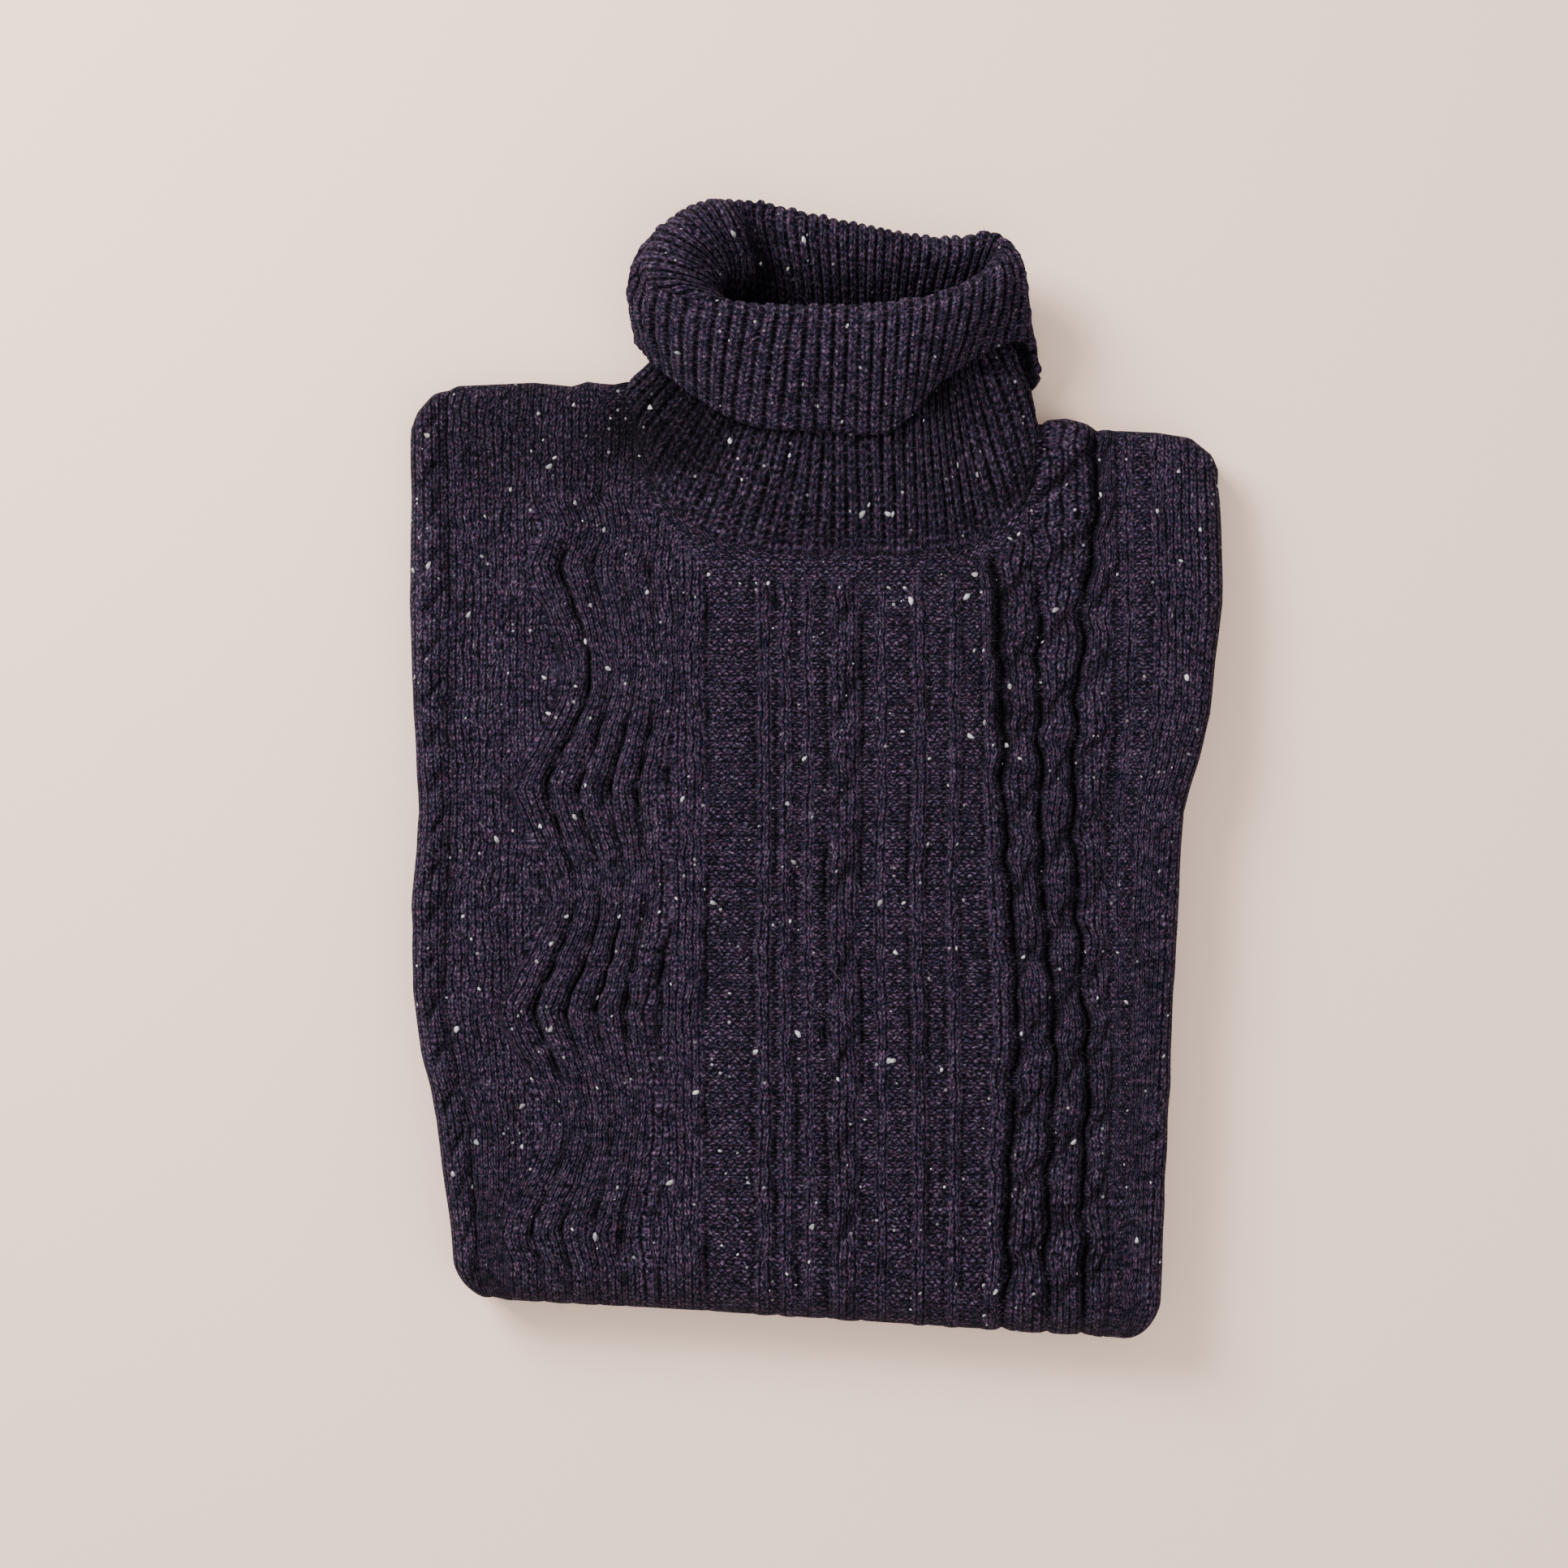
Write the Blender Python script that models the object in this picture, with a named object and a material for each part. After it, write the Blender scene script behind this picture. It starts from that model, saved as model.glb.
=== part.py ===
"""An aran turtleneck sweater, folded and lying on its back, with the collar turned down towards +Y.

The front panel goes round the whole bundle: over the top, round the bottom fold and back along the
floor to the hem, with its sides turned under. The sizes below are millimetres in the garment's own
frame: +X to the right, +Y to the collar, z = 0 on the floor. Meshes are written in metres.
"""

import math

import bpy
import numpy as np

MM = 0.001
CLOTH = 3.0  # thickness of one knitted layer
COLLAR_CLOTH = 2.4
THIN_FOLD = 0.9  # the neck is this much thinner where its right side folds
CABLED_CLOTH = 4.5  # thickness of the front, whose grooves are deep
GAP = 0.3  # between pieces that touch
FOLD_RADIUS = 17.0  # outer radius of the bottom fold
FOLD_STEPS = 6
TOP_ROWS = 21
SIDE_STEPS = 4
HEM_Y = 5.0  # the hem lies here on the underside
BOTTOM_Y = -245.0  # the bottom fold at x = 0
BOTTOM_SLOPE = 0.063  # it runs lower to the right
CORNER_INSET = 9.0  # the bottom corners are rounded in plan
SEAM_OVERLAP = 1.0  # the front reaches this far under the collar
BOTTOM_SIDE = 7.25  # radius of the turned sides at the bottom fold
LIP = 6.0  # how far the turned sides go on underneath
EDGE_ANGLES = (0.0, 0.5, 1.05)  # rows round the roll of the shoulder edge, in radians
SHOULDER_ROLL = 7.0  # radius at which the shoulder edge turns down
RIBS = 60  # round the collar
RIB_HEIGHT = 1.1
COLLAR_ROWS = (3, 2, 2, 1, 2, 3)  # rows from seam to throat, over the rim and down to the free edge
RIM_RADIUS = 3.0  # of the roll at the rim
OVERFOLD_SHOULDER = 0.27  # where between rim and free edge the overfold bulges most
WAVE_PERIOD = 98.9
WAVE_KINK_Y = 89.0  # one of the places where the wave cable reaches furthest left
WAVE_GROOVE = 1.8
ROPE_PITCH = 39.0
ROPE_SWELL = 0.5
SLEEVE_THICK = 4.2
BACK_EDGE_Y = 157.0  # back neckline
BACK_END_Y = 51.0  # the back goes under the hidden layers here
BACK_ROLL = 7.5  # it rolls up at the shoulder edge to meet the front
BACK_ANGLES = (0.0, 0.55, 1.1, 1.57)
LAYER_ROWS = (130.0, 104.0, 72.0, 50.0, 40.0, 23.0, 15.0, 6.0, -21.0, -63.0, -100.0, -128.0, -158.0, -206.0)
LOWER_SHARES = (0.5, 0.98, 0.995)  # of the way from the bottom fold to the hem
NECK_HOLLOW_Y = 80.0  # the hidden layers stop here, under the neck

# Outline and height of the folded body, one row for each section from shoulder to bottom.
BODY_COLUMNS = ("y", "left", "right", "top", "low")
BODY = (
    (172.0, -181.0, 180.0, 22.0, 7.0),
    (150.0, -181.5, 180.0, 24.0, 7.2),
    (120.0, -181.6, 181.5, 26.0, 7.8),
    (72.0, -181.4, 182.4, 29.0, 10.5),
    (23.0, -179.2, 175.8, 32.0, 19.5),
    (-21.0, -176.8, 164.3, 33.5, 19.5),
    (-63.0, -180.0, 161.2, 34.0, 19.5),
    (-100.0, -179.5, 160.0, 34.0, 19.5),
    (-128.0, -175.6, 158.6, 34.0, 19.5),
    (-158.0, -168.6, 157.0, 34.0, 19.5),
    (-206.0, -163.0, 154.8, 34.0, 19.5),
    (-250.0, -159.0, 153.0, 34.0, 19.5),
)

# The shoulder edge in plan, x and y, from the left fold to the neck and from the neck to the right fold.
LEFT_SHOULDER = (
    (-181.6, 150.0),
    (-178.5, 158.5),
    (-171.0, 166.0),
    (-160.0, 170.5),
    (-126.0, 172.0),
    (-109.0, 170.2),
    (-102.0, 172.5),
    (-90.0, 170.5),
    (-84.0, 171.5),
)
RIGHT_SHOULDER = (
    (99.5, 151.0),
    (104.0, 154.5),
    (112.0, 155.5),
    (122.0, 153.0),
    (129.0, 150.5),
    (153.0, 149.5),
    (168.0, 147.0),
    (178.0, 139.0),
    (182.5, 128.0),
)

# The collar, one row for each place round the neck. turn is the share of the way round from the
# front, towards the right. seam joins the body, throat is the narrowest place inside, rim is the
# top of the roll and edge is the free edge of the overfold, which bulges out between them.
COLLAR_COLUMNS = (
    "turn",
    "rim_x", "rim_y", "rim_z",
    "throat_x", "throat_y", "throat_z",
    "edge_x", "edge_y", "edge_z",
    "seam_x", "seam_y", "seam_z",
    "bulge",
)
COLLAR = (
    (0.00, 5.0, 200.0, 48.0, 9.0, 180.0, 34.0, 3.0, 149.0, 37.4, 11.0, 95.0, 29.5, 4.0),
    (0.08, 36.5, 202.0, 48.0, 40.5, 182.0, 34.0, 34.0, 149.0, 37.4, 45.0, 95.0, 29.5, 4.0),
    (0.15, 64.0, 209.0, 46.5, 58.5, 188.5, 33.0, 55.5, 170.0, 40.5, 70.5, 99.5, 29.4, 4.0),
    (0.21, 81.5, 222.0, 42.5, 68.5, 195.5, 28.5, 78.0, 185.0, 37.0, 93.0, 119.0, 28.4, 4.0),
    (0.25, 83.5, 230.0, 36.5, 75.5, 202.0, 22.5, 92.5, 189.5, 27.0, 97.5, 142.0, 26.9, 4.0),
    (0.28, 76.5, 234.5, 32.0, 70.5, 207.0, 17.0, 97.5, 179.0, 17.0, 88.0, 153.5, 22.8, 5.5),
    (0.31, 64.0, 233.0, 28.5, 60.0, 204.0, 13.5, 97.5, 170.5, 8.5, 77.0, 157.5, 17.0, 7.0),
    (0.49, 11.0, 241.0, 25.5, 13.0, 201.0, 9.6, 15.0, 170.5, 2.5, 13.0, 160.5, 5.8, 10.0),
    (0.63, -34.5, 249.5, 28.0, -25.5, 206.0, 11.0, -46.0, 175.0, 2.5, -45.5, 164.0, 5.8, 10.0),
    (0.70, -55.0, 246.0, 33.0, -36.5, 209.0, 15.5, -70.5, 182.0, 5.5, -75.0, 169.5, 11.0, 9.0),
    (0.76, -70.5, 232.0, 39.0, -40.0, 207.5, 21.5, -78.0, 189.5, 16.5, -80.5, 159.5, 25.8, 6.0),
    (0.82, -73.5, 214.0, 43.0, -38.5, 199.0, 28.0, -72.0, 179.5, 31.5, -75.0, 134.5, 27.6, 4.0),
    (0.88, -49.5, 204.0, 47.0, -28.0, 189.0, 32.0, -52.0, 163.0, 37.0, -56.5, 109.5, 28.9, 4.0),
    (0.94, -21.5, 200.5, 48.0, -9.5, 182.0, 34.0, -28.5, 151.0, 37.4, -25.0, 96.5, 29.5, 4.0),
)

# Straight lanes of the front's knit: where each lies and how far it stands up. Those beside the
# folds lie at a share of the way from the fold to the cables, or from the cables to the fold.
LEFT_LANES = ((0.07, 0.6), (0.21, -0.9), (0.6, 0.0))
CENTRE_LANES = (
    (-58.0, 0.0),
    (-47.9, -0.9),
    (-36.0, -0.3),
    (-22.7, 0.7),
    (-17.5, -0.3),
    (-12.2, 0.7),
    (-6.0, -0.3),
    (4.5, -0.5),
    (8.5, 0.9),
    (12.5, 1.3),
    (16.5, 0.9),
    (20.5, -0.5),
    (34.0, -0.3),
    (45.4, 0.7),
    (53.0, -0.3),
    (60.8, 0.7),
    (68.0, -0.3),
)
RIGHT_LANES = ((0.28, -0.5), (0.68, 0.0))
WAVE_LANES = 11  # ridge, groove, ridge and so on across the wave cable
WAVE_LEFT_X = -131.0
WAVE_PITCH = 6.25
WAVE_SWING = (14.0, 7.0)  # of its first and its last lane
ROPE_COLUMN = -6.0  # the rounded column beside the first deep groove, from that groove
ROPE_HEIGHT = 1.2
LAST_ROPE = 8.0  # the last rope, from the third deep groove
DEEP_GROOVE = 3.0
DEEP_START_Y = 92.0  # the first two deep grooves start just under the neckline

# The three deep grooves down the right of the front.
GROOVE_COLUMNS = ("y", "first", "second", "third")
GROOVES = (
    (152.0, 80.0, 99.0, 125.5),
    (110.0, 80.0, 99.5, 127.0),
    (84.0, 81.0, 99.7, 121.5),
    (30.0, 82.8, 99.7, 116.3),
    (-21.0, 83.9, 100.4, 114.8),
    (-72.0, 87.8, 102.8, 116.8),
    (-106.0, 89.6, 104.8, 118.6),
    (-140.0, 87.8, 106.0, 121.0),
    (-180.0, 86.2, 103.2, 119.5),
    (-236.0, 84.6, 103.0, 120.2),
)

# Sleeves lie in the crevice between the two halves, and on the floor beyond the hem. The path is y and z.
SLEEVE_PATH = ((146.0, 2.4), (50.0, 2.4), (40.0, 4.2), (15.0, 15.2), (6.0, 17.0), (-6.0, 17.0), (-128.0, 17.0))
# How low the hidden layers reach over the sleeves and over the back.
UNDER_COLUMNS = ("y", "z")
OVER_SLEEVES = ((172.0, 9.6), (50.0, 9.6), (40.0, 10.0), (15.0, 18.4), (6.0, 19.5), (-300.0, 19.5))
OVER_BACK = ((172.0, 3.8), (50.0, 3.8), (8.0, 17.3), (-300.0, 17.3))
SLACK = 0.8  # between the hidden layers and the front
BESIDE_LIP = (1.5, 4.0)  # the hidden layers step down between these distances from the lip
INSIDE_SHOULDER = 12.0  # how far they stop short of the shoulder edge
END_THINNING = 0.5  # the ends of the hidden layers are rounded off
LEFT_SLEEVE_X = (-173.0, -86.0)
RIGHT_SLEEVE_X = (76.0, 155.0)

PLACE = (-0.28, 1.42, 0.0)  # brings the middle of the whole outline over the origin

NAVY = (0.021, 0.015, 0.027, 1.0)
DARK_NAVY = (0.016, 0.012, 0.021, 1.0)


def column(table, columns, name):
    """One named column of a table, as an array."""
    return np.array([row[columns.index(name)] for row in table])


def body_size(name, y):
    """A size of the folded body at y, read between its sections."""
    return np.interp(-np.asarray(y, float), -column(BODY, BODY_COLUMNS, "y"), column(BODY, BODY_COLUMNS, name))


def smooth(value, start, end):
    """0 before start and 1 after end, with a soft step between."""
    share = np.clip((np.asarray(value, float) - start) / (end - start), 0.0, 1.0)
    return share * share * (3.0 - 2.0 * share)


def round_curve(places, values, where):
    """A smooth closed curve through the values at the places 0..1, read at where."""
    places = np.asarray(places)
    values = np.asarray(values)
    spread = np.concatenate([places[-2:] - 1.0, places, places[:3] + 1.0])
    padded = np.concatenate([values[-2:], values, values[:3]])
    slopes = np.zeros_like(padded)
    before = (padded[1:-1] - padded[:-2]) / (spread[1:-1] - spread[:-2])
    after = (padded[2:] - padded[1:-1]) / (spread[2:] - spread[1:-1])
    slopes[1:-1] = (before + after) / 2.0
    k = np.clip(np.searchsorted(spread, where, side="right") - 1, 1, len(spread) - 3)
    width = spread[k + 1] - spread[k]
    t = (where - spread[k]) / width
    rest = 1.0 - t
    return (
        (1.0 + 2.0 * t) * rest * rest * padded[k]
        + t * rest * rest * width * slopes[k]
        + t * t * (3.0 - 2.0 * t) * padded[k + 1]
        - t * t * rest * width * slopes[k + 1]
    )


def collar_loop(name, turns):
    """Points (n, 3) of one of the collar's named loops at the given turns."""
    places = column(COLLAR, COLLAR_COLUMNS, "turn")
    axes = []
    for axis in ("_x", "_y", "_z"):
        axes.append(round_curve(places, column(COLLAR, COLLAR_COLUMNS, name + axis), turns))
    return np.stack(axes, axis=-1)


def collar_bulge(turns):
    """How far the overfold bulges at each turn."""
    return round_curve(column(COLLAR, COLLAR_COLUMNS, "turn"), column(COLLAR, COLLAR_COLUMNS, "bulge"), turns)


def unit(vectors):
    """The vectors at length 1."""
    return vectors / np.maximum(np.linalg.norm(vectors, axis=-1, keepdims=True), 1e-9)


def grid_normals(points, closed=False):
    """Outward normals of a grid (rows, columns, 3) whose rows run down and columns run to the right."""
    if closed:
        across = np.roll(points, -1, axis=1) - np.roll(points, 1, axis=1)
    else:
        across = np.gradient(points, axis=1)
    return unit(np.cross(np.gradient(points, axis=0), across))


def cloth_wall(name, outer, inner, colour, closed=False):
    """A closed wall between two grids of the same size, as one mesh object."""
    rows, columns = outer.shape[:2]
    count = rows * columns
    across = columns if closed else columns - 1
    faces = []
    for i in range(rows - 1):
        for j in range(across):
            a = i * columns + j
            b = i * columns + (j + 1) % columns
            faces.append((a, a + columns, b + columns, b))
            faces.append((count + a, count + b, count + b + columns, count + a + columns))
    last = (rows - 1) * columns
    for j in range(across):
        k = (j + 1) % columns
        faces.append((j, k, count + k, count + j))
        faces.append((last + j, count + last + j, count + last + k, last + k))
    if not closed:
        for i in range(rows - 1):
            a = i * columns
            b = a + columns - 1
            faces.append((a, count + a, count + a + columns, a + columns))
            faces.append((b, b + columns, count + b + columns, count + b))
    mesh = bpy.data.meshes.new(name)
    points = (np.concatenate([outer.reshape(-1, 3), inner.reshape(-1, 3)]) + PLACE) * MM
    mesh.from_pydata(points.tolist(), [], faces)
    mesh.validate()
    return add_object(name, mesh, colour)


def add_object(name, mesh, colour):
    """Puts a mesh in the sweater's collection, smooth, with its own material."""
    material = bpy.data.materials.new(name)
    material.use_nodes = True
    shader = material.node_tree.nodes["Principled BSDF"]
    shader.inputs["Base Color"].default_value = colour
    shader.inputs["Roughness"].default_value = 0.95
    shader.inputs["Metallic"].default_value = 0.0
    mesh.materials.append(material)
    mesh.shade_smooth()
    piece = bpy.data.objects.new(name, mesh)
    bpy.data.collections["aran_turtleneck_sweater"].objects.link(piece)
    return piece


def neckline(x):
    """The front neckline's y at each x. The collar's seam lies on its edge."""
    turns = np.linspace(-0.25, 0.24, 200)
    seam = collar_loop("seam", turns % 1.0)
    order = np.argsort(seam[:, 0])
    return np.interp(x, seam[order, 0], seam[order, 1] + SEAM_OVERLAP, left=np.inf, right=np.inf)


def top_edge(x):
    """Where the front starts: the shoulder edge, or the neckline between the shoulders."""
    left = np.array(LEFT_SHOULDER)
    right = np.array(RIGHT_SHOULDER)
    shoulder = np.where(x < 0.0, np.interp(x, left[:, 0], left[:, 1]), np.interp(x, right[:, 0], right[:, 1]))
    return np.minimum(shoulder, neckline(x))


def in_neck(x):
    """1 across the neck and 0 at the shoulders."""
    return smooth(x, -100.0, -86.0) * (1.0 - smooth(x, 101.0, 112.0))


def corner_inset(angle):
    """How far the sides stand in at an angle of the bottom fold. Its corners are round in plan."""
    return CORNER_INSET * (1.0 - np.abs(np.cos(angle)))


def front_lanes(y, flat_left, flat_right):
    """x and height of every lane of the front's knit at each y, between the turned sides."""
    y = np.asarray(y, float)
    phase = np.abs(np.sin(math.pi * (WAVE_KINK_Y - y) / WAVE_PERIOD))
    places = []
    heights = []
    for share, height in LEFT_LANES:
        places.append(flat_left + share * (WAVE_LEFT_X - flat_left))
        heights.append(height * np.ones_like(y))
    for lane in range(WAVE_LANES):
        share = lane / (WAVE_LANES - 1)
        swing = WAVE_SWING[0] + share * (WAVE_SWING[1] - WAVE_SWING[0])
        places.append(WAVE_LEFT_X + lane * WAVE_PITCH + swing * phase**1.3)
        kink = 0.35 + 0.65 * (1.0 - phase**2)
        heights.append((-WAVE_GROOVE if lane % 2 else 0.4 * WAVE_GROOVE) * kink)
    twist = np.cos(2.0 * math.pi * y / ROPE_PITCH)
    for x, height in CENTRE_LANES:
        rope = 8.0 < x < 17.0
        places.append(x + (1.3 * twist if rope else 0.0) * np.ones_like(y))
        heights.append(height + (ROPE_SWELL * twist if rope else 0.0) * np.ones_like(y))
    grooves = [np.interp(-y, -column(GROOVES, GROOVE_COLUMNS, "y"), column(GROOVES, GROOVE_COLUMNS, name))
               for name in GROOVE_COLUMNS[1:]]
    started = 1.0 - smooth(y, DEEP_START_Y - 12.0, DEEP_START_Y)
    places.append(grooves[0] + ROPE_COLUMN)
    heights.append(ROPE_HEIGHT * 0.8 * started)
    for number, groove in enumerate(grooves):
        places.append(groove)
        heights.append(-DEEP_GROOVE * (started if number < 2 else np.ones_like(y)))
        rope = (groove + grooves[number + 1]) / 2.0 if number < 2 else groove + LAST_ROPE
        places.append(rope)
        heights.append(ROPE_HEIGHT + ROPE_SWELL * np.cos(2.0 * math.pi * y / ROPE_PITCH + number))
    for share, height in RIGHT_LANES:
        places.append(rope + share * (flat_right - rope))
        heights.append(height * np.ones_like(y))
    return np.stack(places, axis=-1), np.stack(heights, axis=-1)


def front_columns(side_steps):
    """How many columns turn with each side, and the resting x of all columns."""
    lanes = front_lanes(np.array([100.0]), np.array([-172.0]), np.array([172.0]))[0][0]
    side = side_steps + 2
    return side, np.concatenate([np.full(side, -181.0), lanes, np.full(side, 182.0)])


def front_grid(inset, top_rows=TOP_ROWS, side_steps=SIDE_STEPS):
    """The front's smooth surface at a depth of inset for each column, with the relief of its knit."""
    side_count, rest_x = front_columns(side_steps)
    columns = len(rest_x)
    turn_angles = np.linspace(0.0, math.pi, side_steps + 1)
    edge_rows = len(EDGE_ANGLES)
    rows = edge_rows + top_rows + FOLD_STEPS + 2
    points = np.zeros((rows, columns, 3))
    relief = np.zeros((rows, columns))
    middle = slice(side_count, columns - side_count)
    turned = np.zeros(columns)
    turned[:side_count] = -np.sin(np.append(turn_angles, math.pi)[::-1])
    turned[-side_count:] = np.sin(np.append(turn_angles, math.pi))
    start = top_edge(rest_x)
    start_x = rest_x.copy()
    left, right = body_size("left", BOTTOM_Y), body_size("right", BOTTOM_Y)
    flat = np.full(columns - 2 * side_count, BOTTOM_Y)
    bottom_x = np.clip(rest_x, left, right)
    flat_left = flat * 0.0 + left + BOTTOM_SIDE
    flat_right = flat * 0.0 + right - BOTTOM_SIDE
    bottom_x[middle] = np.diagonal(front_lanes(flat, flat_left, flat_right)[0])
    bottom_x[[0, -1]] += BOTTOM_SIDE + LIP, -BOTTOM_SIDE - LIP
    bottom = BOTTOM_Y - BOTTOM_SLOPE * bottom_x + FOLD_RADIUS
    for _ in range(8):
        radius = (body_size("top", start) - body_size("low", start)) / 2.0
        left = body_size("left", start) + radius
        right = body_size("right", start) - radius
        start_x[middle] = np.diagonal(front_lanes(start[middle], left[middle], right[middle])[0])
        start_x[:side_count] = (left + turned * radius)[:side_count]
        start_x[-side_count:] = (right + turned * radius)[-side_count:]
        start_x[[0, -1]] += LIP, -LIP
        start = 0.5 * (start + top_edge(start_x))
    rolled = 1.0 - in_neck(start_x)
    for i in range(rows):
        angle = np.zeros(columns)
        edge = math.pi / 2.0
        if i < edge_rows:
            edge = EDGE_ANGLES[i]
            y = start - SHOULDER_ROLL * (1.0 - math.cos(edge))
        elif i < edge_rows + top_rows:
            share = (i - edge_rows + 1) / top_rows
            y = start - SHOULDER_ROLL + (bottom - start + SHOULDER_ROLL) * share
        elif i < rows - 2:
            y = bottom
            angle = np.full(columns, math.pi * (i - edge_rows - top_rows + 1) / FOLD_STEPS)
        else:
            y = bottom + (HEM_Y - bottom) * (i - rows + 3) / 2.0
            angle = np.full(columns, math.pi)
        section = y if angle[0] == 0.0 else np.full(columns, BOTTOM_Y)
        height = body_size("top", section)
        full = (height - body_size("low", section)) / 2.0
        radius = full - inset
        corner = corner_inset(angle)
        left = body_size("left", y) + corner + full
        right = body_size("right", y) - corner - full
        lane_x, lane_height = front_lanes(y[middle], left[middle], right[middle])
        x = np.zeros(columns)
        depth = np.zeros(columns)
        x[middle] = np.diagonal(lane_x)
        relief[i, middle] = np.diagonal(lane_height)
        for j, turn in enumerate(turn_angles):
            a = side_count - 1 - j
            x[a] = left[a] - radius[a] * math.sin(turn)
            depth[a] = radius[a] * (1.0 - math.cos(turn))
            b = columns - side_count + j
            x[b] = right[b] + radius[b] * math.sin(turn)
            depth[b] = radius[b] * (1.0 - math.cos(turn))
        x[0] = left[0] + LIP
        x[-1] = right[-1] - LIP
        depth[0] = 2.0 * radius[0]
        depth[-1] = 2.0 * radius[-1]
        if angle[0] == 0.0:
            drop = (SHOULDER_ROLL - inset) * (1.0 - math.sin(edge)) * rolled
            drop *= np.clip(1.0 - depth / SHOULDER_ROLL, 0.0, 1.0)
            y = y - inset * rolled * math.cos(edge)
            points[i] = np.stack([x, y, height - inset - depth - drop], axis=-1)
        else:
            distance = FOLD_RADIUS - inset - depth
            y = y - distance * np.sin(angle)
            z = FOLD_RADIUS + distance * np.cos(angle)
            points[i] = np.stack([x, y, z], axis=-1)
        relief[i] *= 1.0 - smooth(angle, 0.45 * math.pi, 0.75 * math.pi)
        relief[i] *= smooth(start - y, 2.0, 10.0) if angle[0] == 0.0 else 1.0
    return points, relief


def make_front():
    side_count, rest_x = front_columns(SIDE_STEPS)
    thickness = np.full(len(rest_x), CABLED_CLOTH)
    thickness[:side_count + 1] = CLOTH
    thickness[-side_count - 1:] = CLOTH
    points, relief = front_grid(np.zeros(len(rest_x)))
    inner, _ = front_grid(thickness)
    outer = points + grid_normals(points) * relief[..., None]
    outer[..., 2] = np.maximum(outer[..., 2], 0.0)
    return cloth_wall("front", outer, inner, NAVY)


def collar_grid(turns, row_steps):
    """The collar's middle surface, rows from the seam over the rim to the free edge."""
    seam = collar_loop("seam", turns)
    throat = collar_loop("throat", turns)
    rim = collar_loop("rim", turns)
    edge = collar_loop("edge", turns)
    along = np.roll(rim + edge, -1, axis=0) - np.roll(rim + edge, 1, axis=0)
    outward = -unit(np.cross(along, edge - rim))
    bulge = rim + (edge - rim) * OVERFOLD_SHOULDER + outward * collar_bulge(turns)[:, None]
    up = unit(rim - (throat + edge) / 2.0)
    across = unit(np.cross(along, np.cross(up, along)))
    aside = unit(np.cross(along, across))
    aside *= np.sign(np.sum(aside * outward, axis=-1, keepdims=True))
    rise_in = rim - (up + aside) * RIM_RADIUS
    rise_out = rim - (up - aside) * RIM_RADIUS
    knots = np.stack([seam, throat, rise_in, rim, rise_out, bulge, edge])
    steps = np.maximum(np.linalg.norm(np.diff(knots, axis=0), axis=-1), 1e-6) ** 0.5
    slopes = np.zeros_like(knots)
    for k in range(len(knots)):
        if 0 < k < len(knots) - 1:
            before = (knots[k] - knots[k - 1]) / steps[k - 1][:, None]
            after = (knots[k + 1] - knots[k]) / steps[k][:, None]
            whole = (knots[k + 1] - knots[k - 1]) / (steps[k] + steps[k - 1])[:, None]
            slopes[k] = before + after - whole
    slopes[0] = 1.5 * (knots[1] - knots[0]) / steps[0][:, None] - 0.5 * slopes[1]
    slopes[-1] = 1.5 * (knots[-1] - knots[-2]) / steps[-1][:, None] - 0.5 * slopes[-2]
    rows = []
    for k, count in enumerate(row_steps):
        for n in range(count):
            t = n / count
            rest = 1.0 - t
            width = steps[k][:, None]
            rows.append(
                (1.0 + 2.0 * t) * rest * rest * knots[k]
                + t * rest * rest * width * slopes[k]
                + t * t * (3.0 - 2.0 * t) * knots[k + 1]
                - t * t * rest * width * slopes[k + 1]
            )
    rows.append(knots[-1])
    return np.stack(rows)


def make_collar():
    turns = np.arange(2 * RIBS) / (2.0 * RIBS)
    middle = collar_grid(turns, COLLAR_ROWS)
    normals = -grid_normals(middle, closed=True)
    normals = unit(sum(np.roll(normals, shift, axis=1) for shift in range(-2, 3)))
    ridge = RIB_HEIGHT * (np.arange(2 * RIBS) % 2 == 0)
    neck = np.zeros(middle.shape[:2])
    leg = COLLAR_ROWS[0]
    neck[:leg] = ridge * (1.0 - smooth(0.5 - np.abs(turns - 0.5), 0.22, 0.28))
    turned = np.zeros(middle.shape[:2])
    rim = sum(COLLAR_ROWS[:3]) - 1
    turned[rim:] = ridge * smooth(middle[rim:, :, 2], 4.0, 10.0)
    outer = middle + normals * (COLLAR_CLOTH / 2.0 + neck)[..., None]
    fold = smooth(turns, 0.19, 0.235) * (1.0 - smooth(turns, 0.30, 0.34))
    fold = fold * (np.arange(len(middle)) < COLLAR_ROWS[0] + 1)[:, None]
    inner = middle - normals * (COLLAR_CLOTH / 2.0 + turned - THIN_FOLD * fold)[..., None]
    return cloth_wall("collar", inner, outer, NAVY, closed=True)


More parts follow.
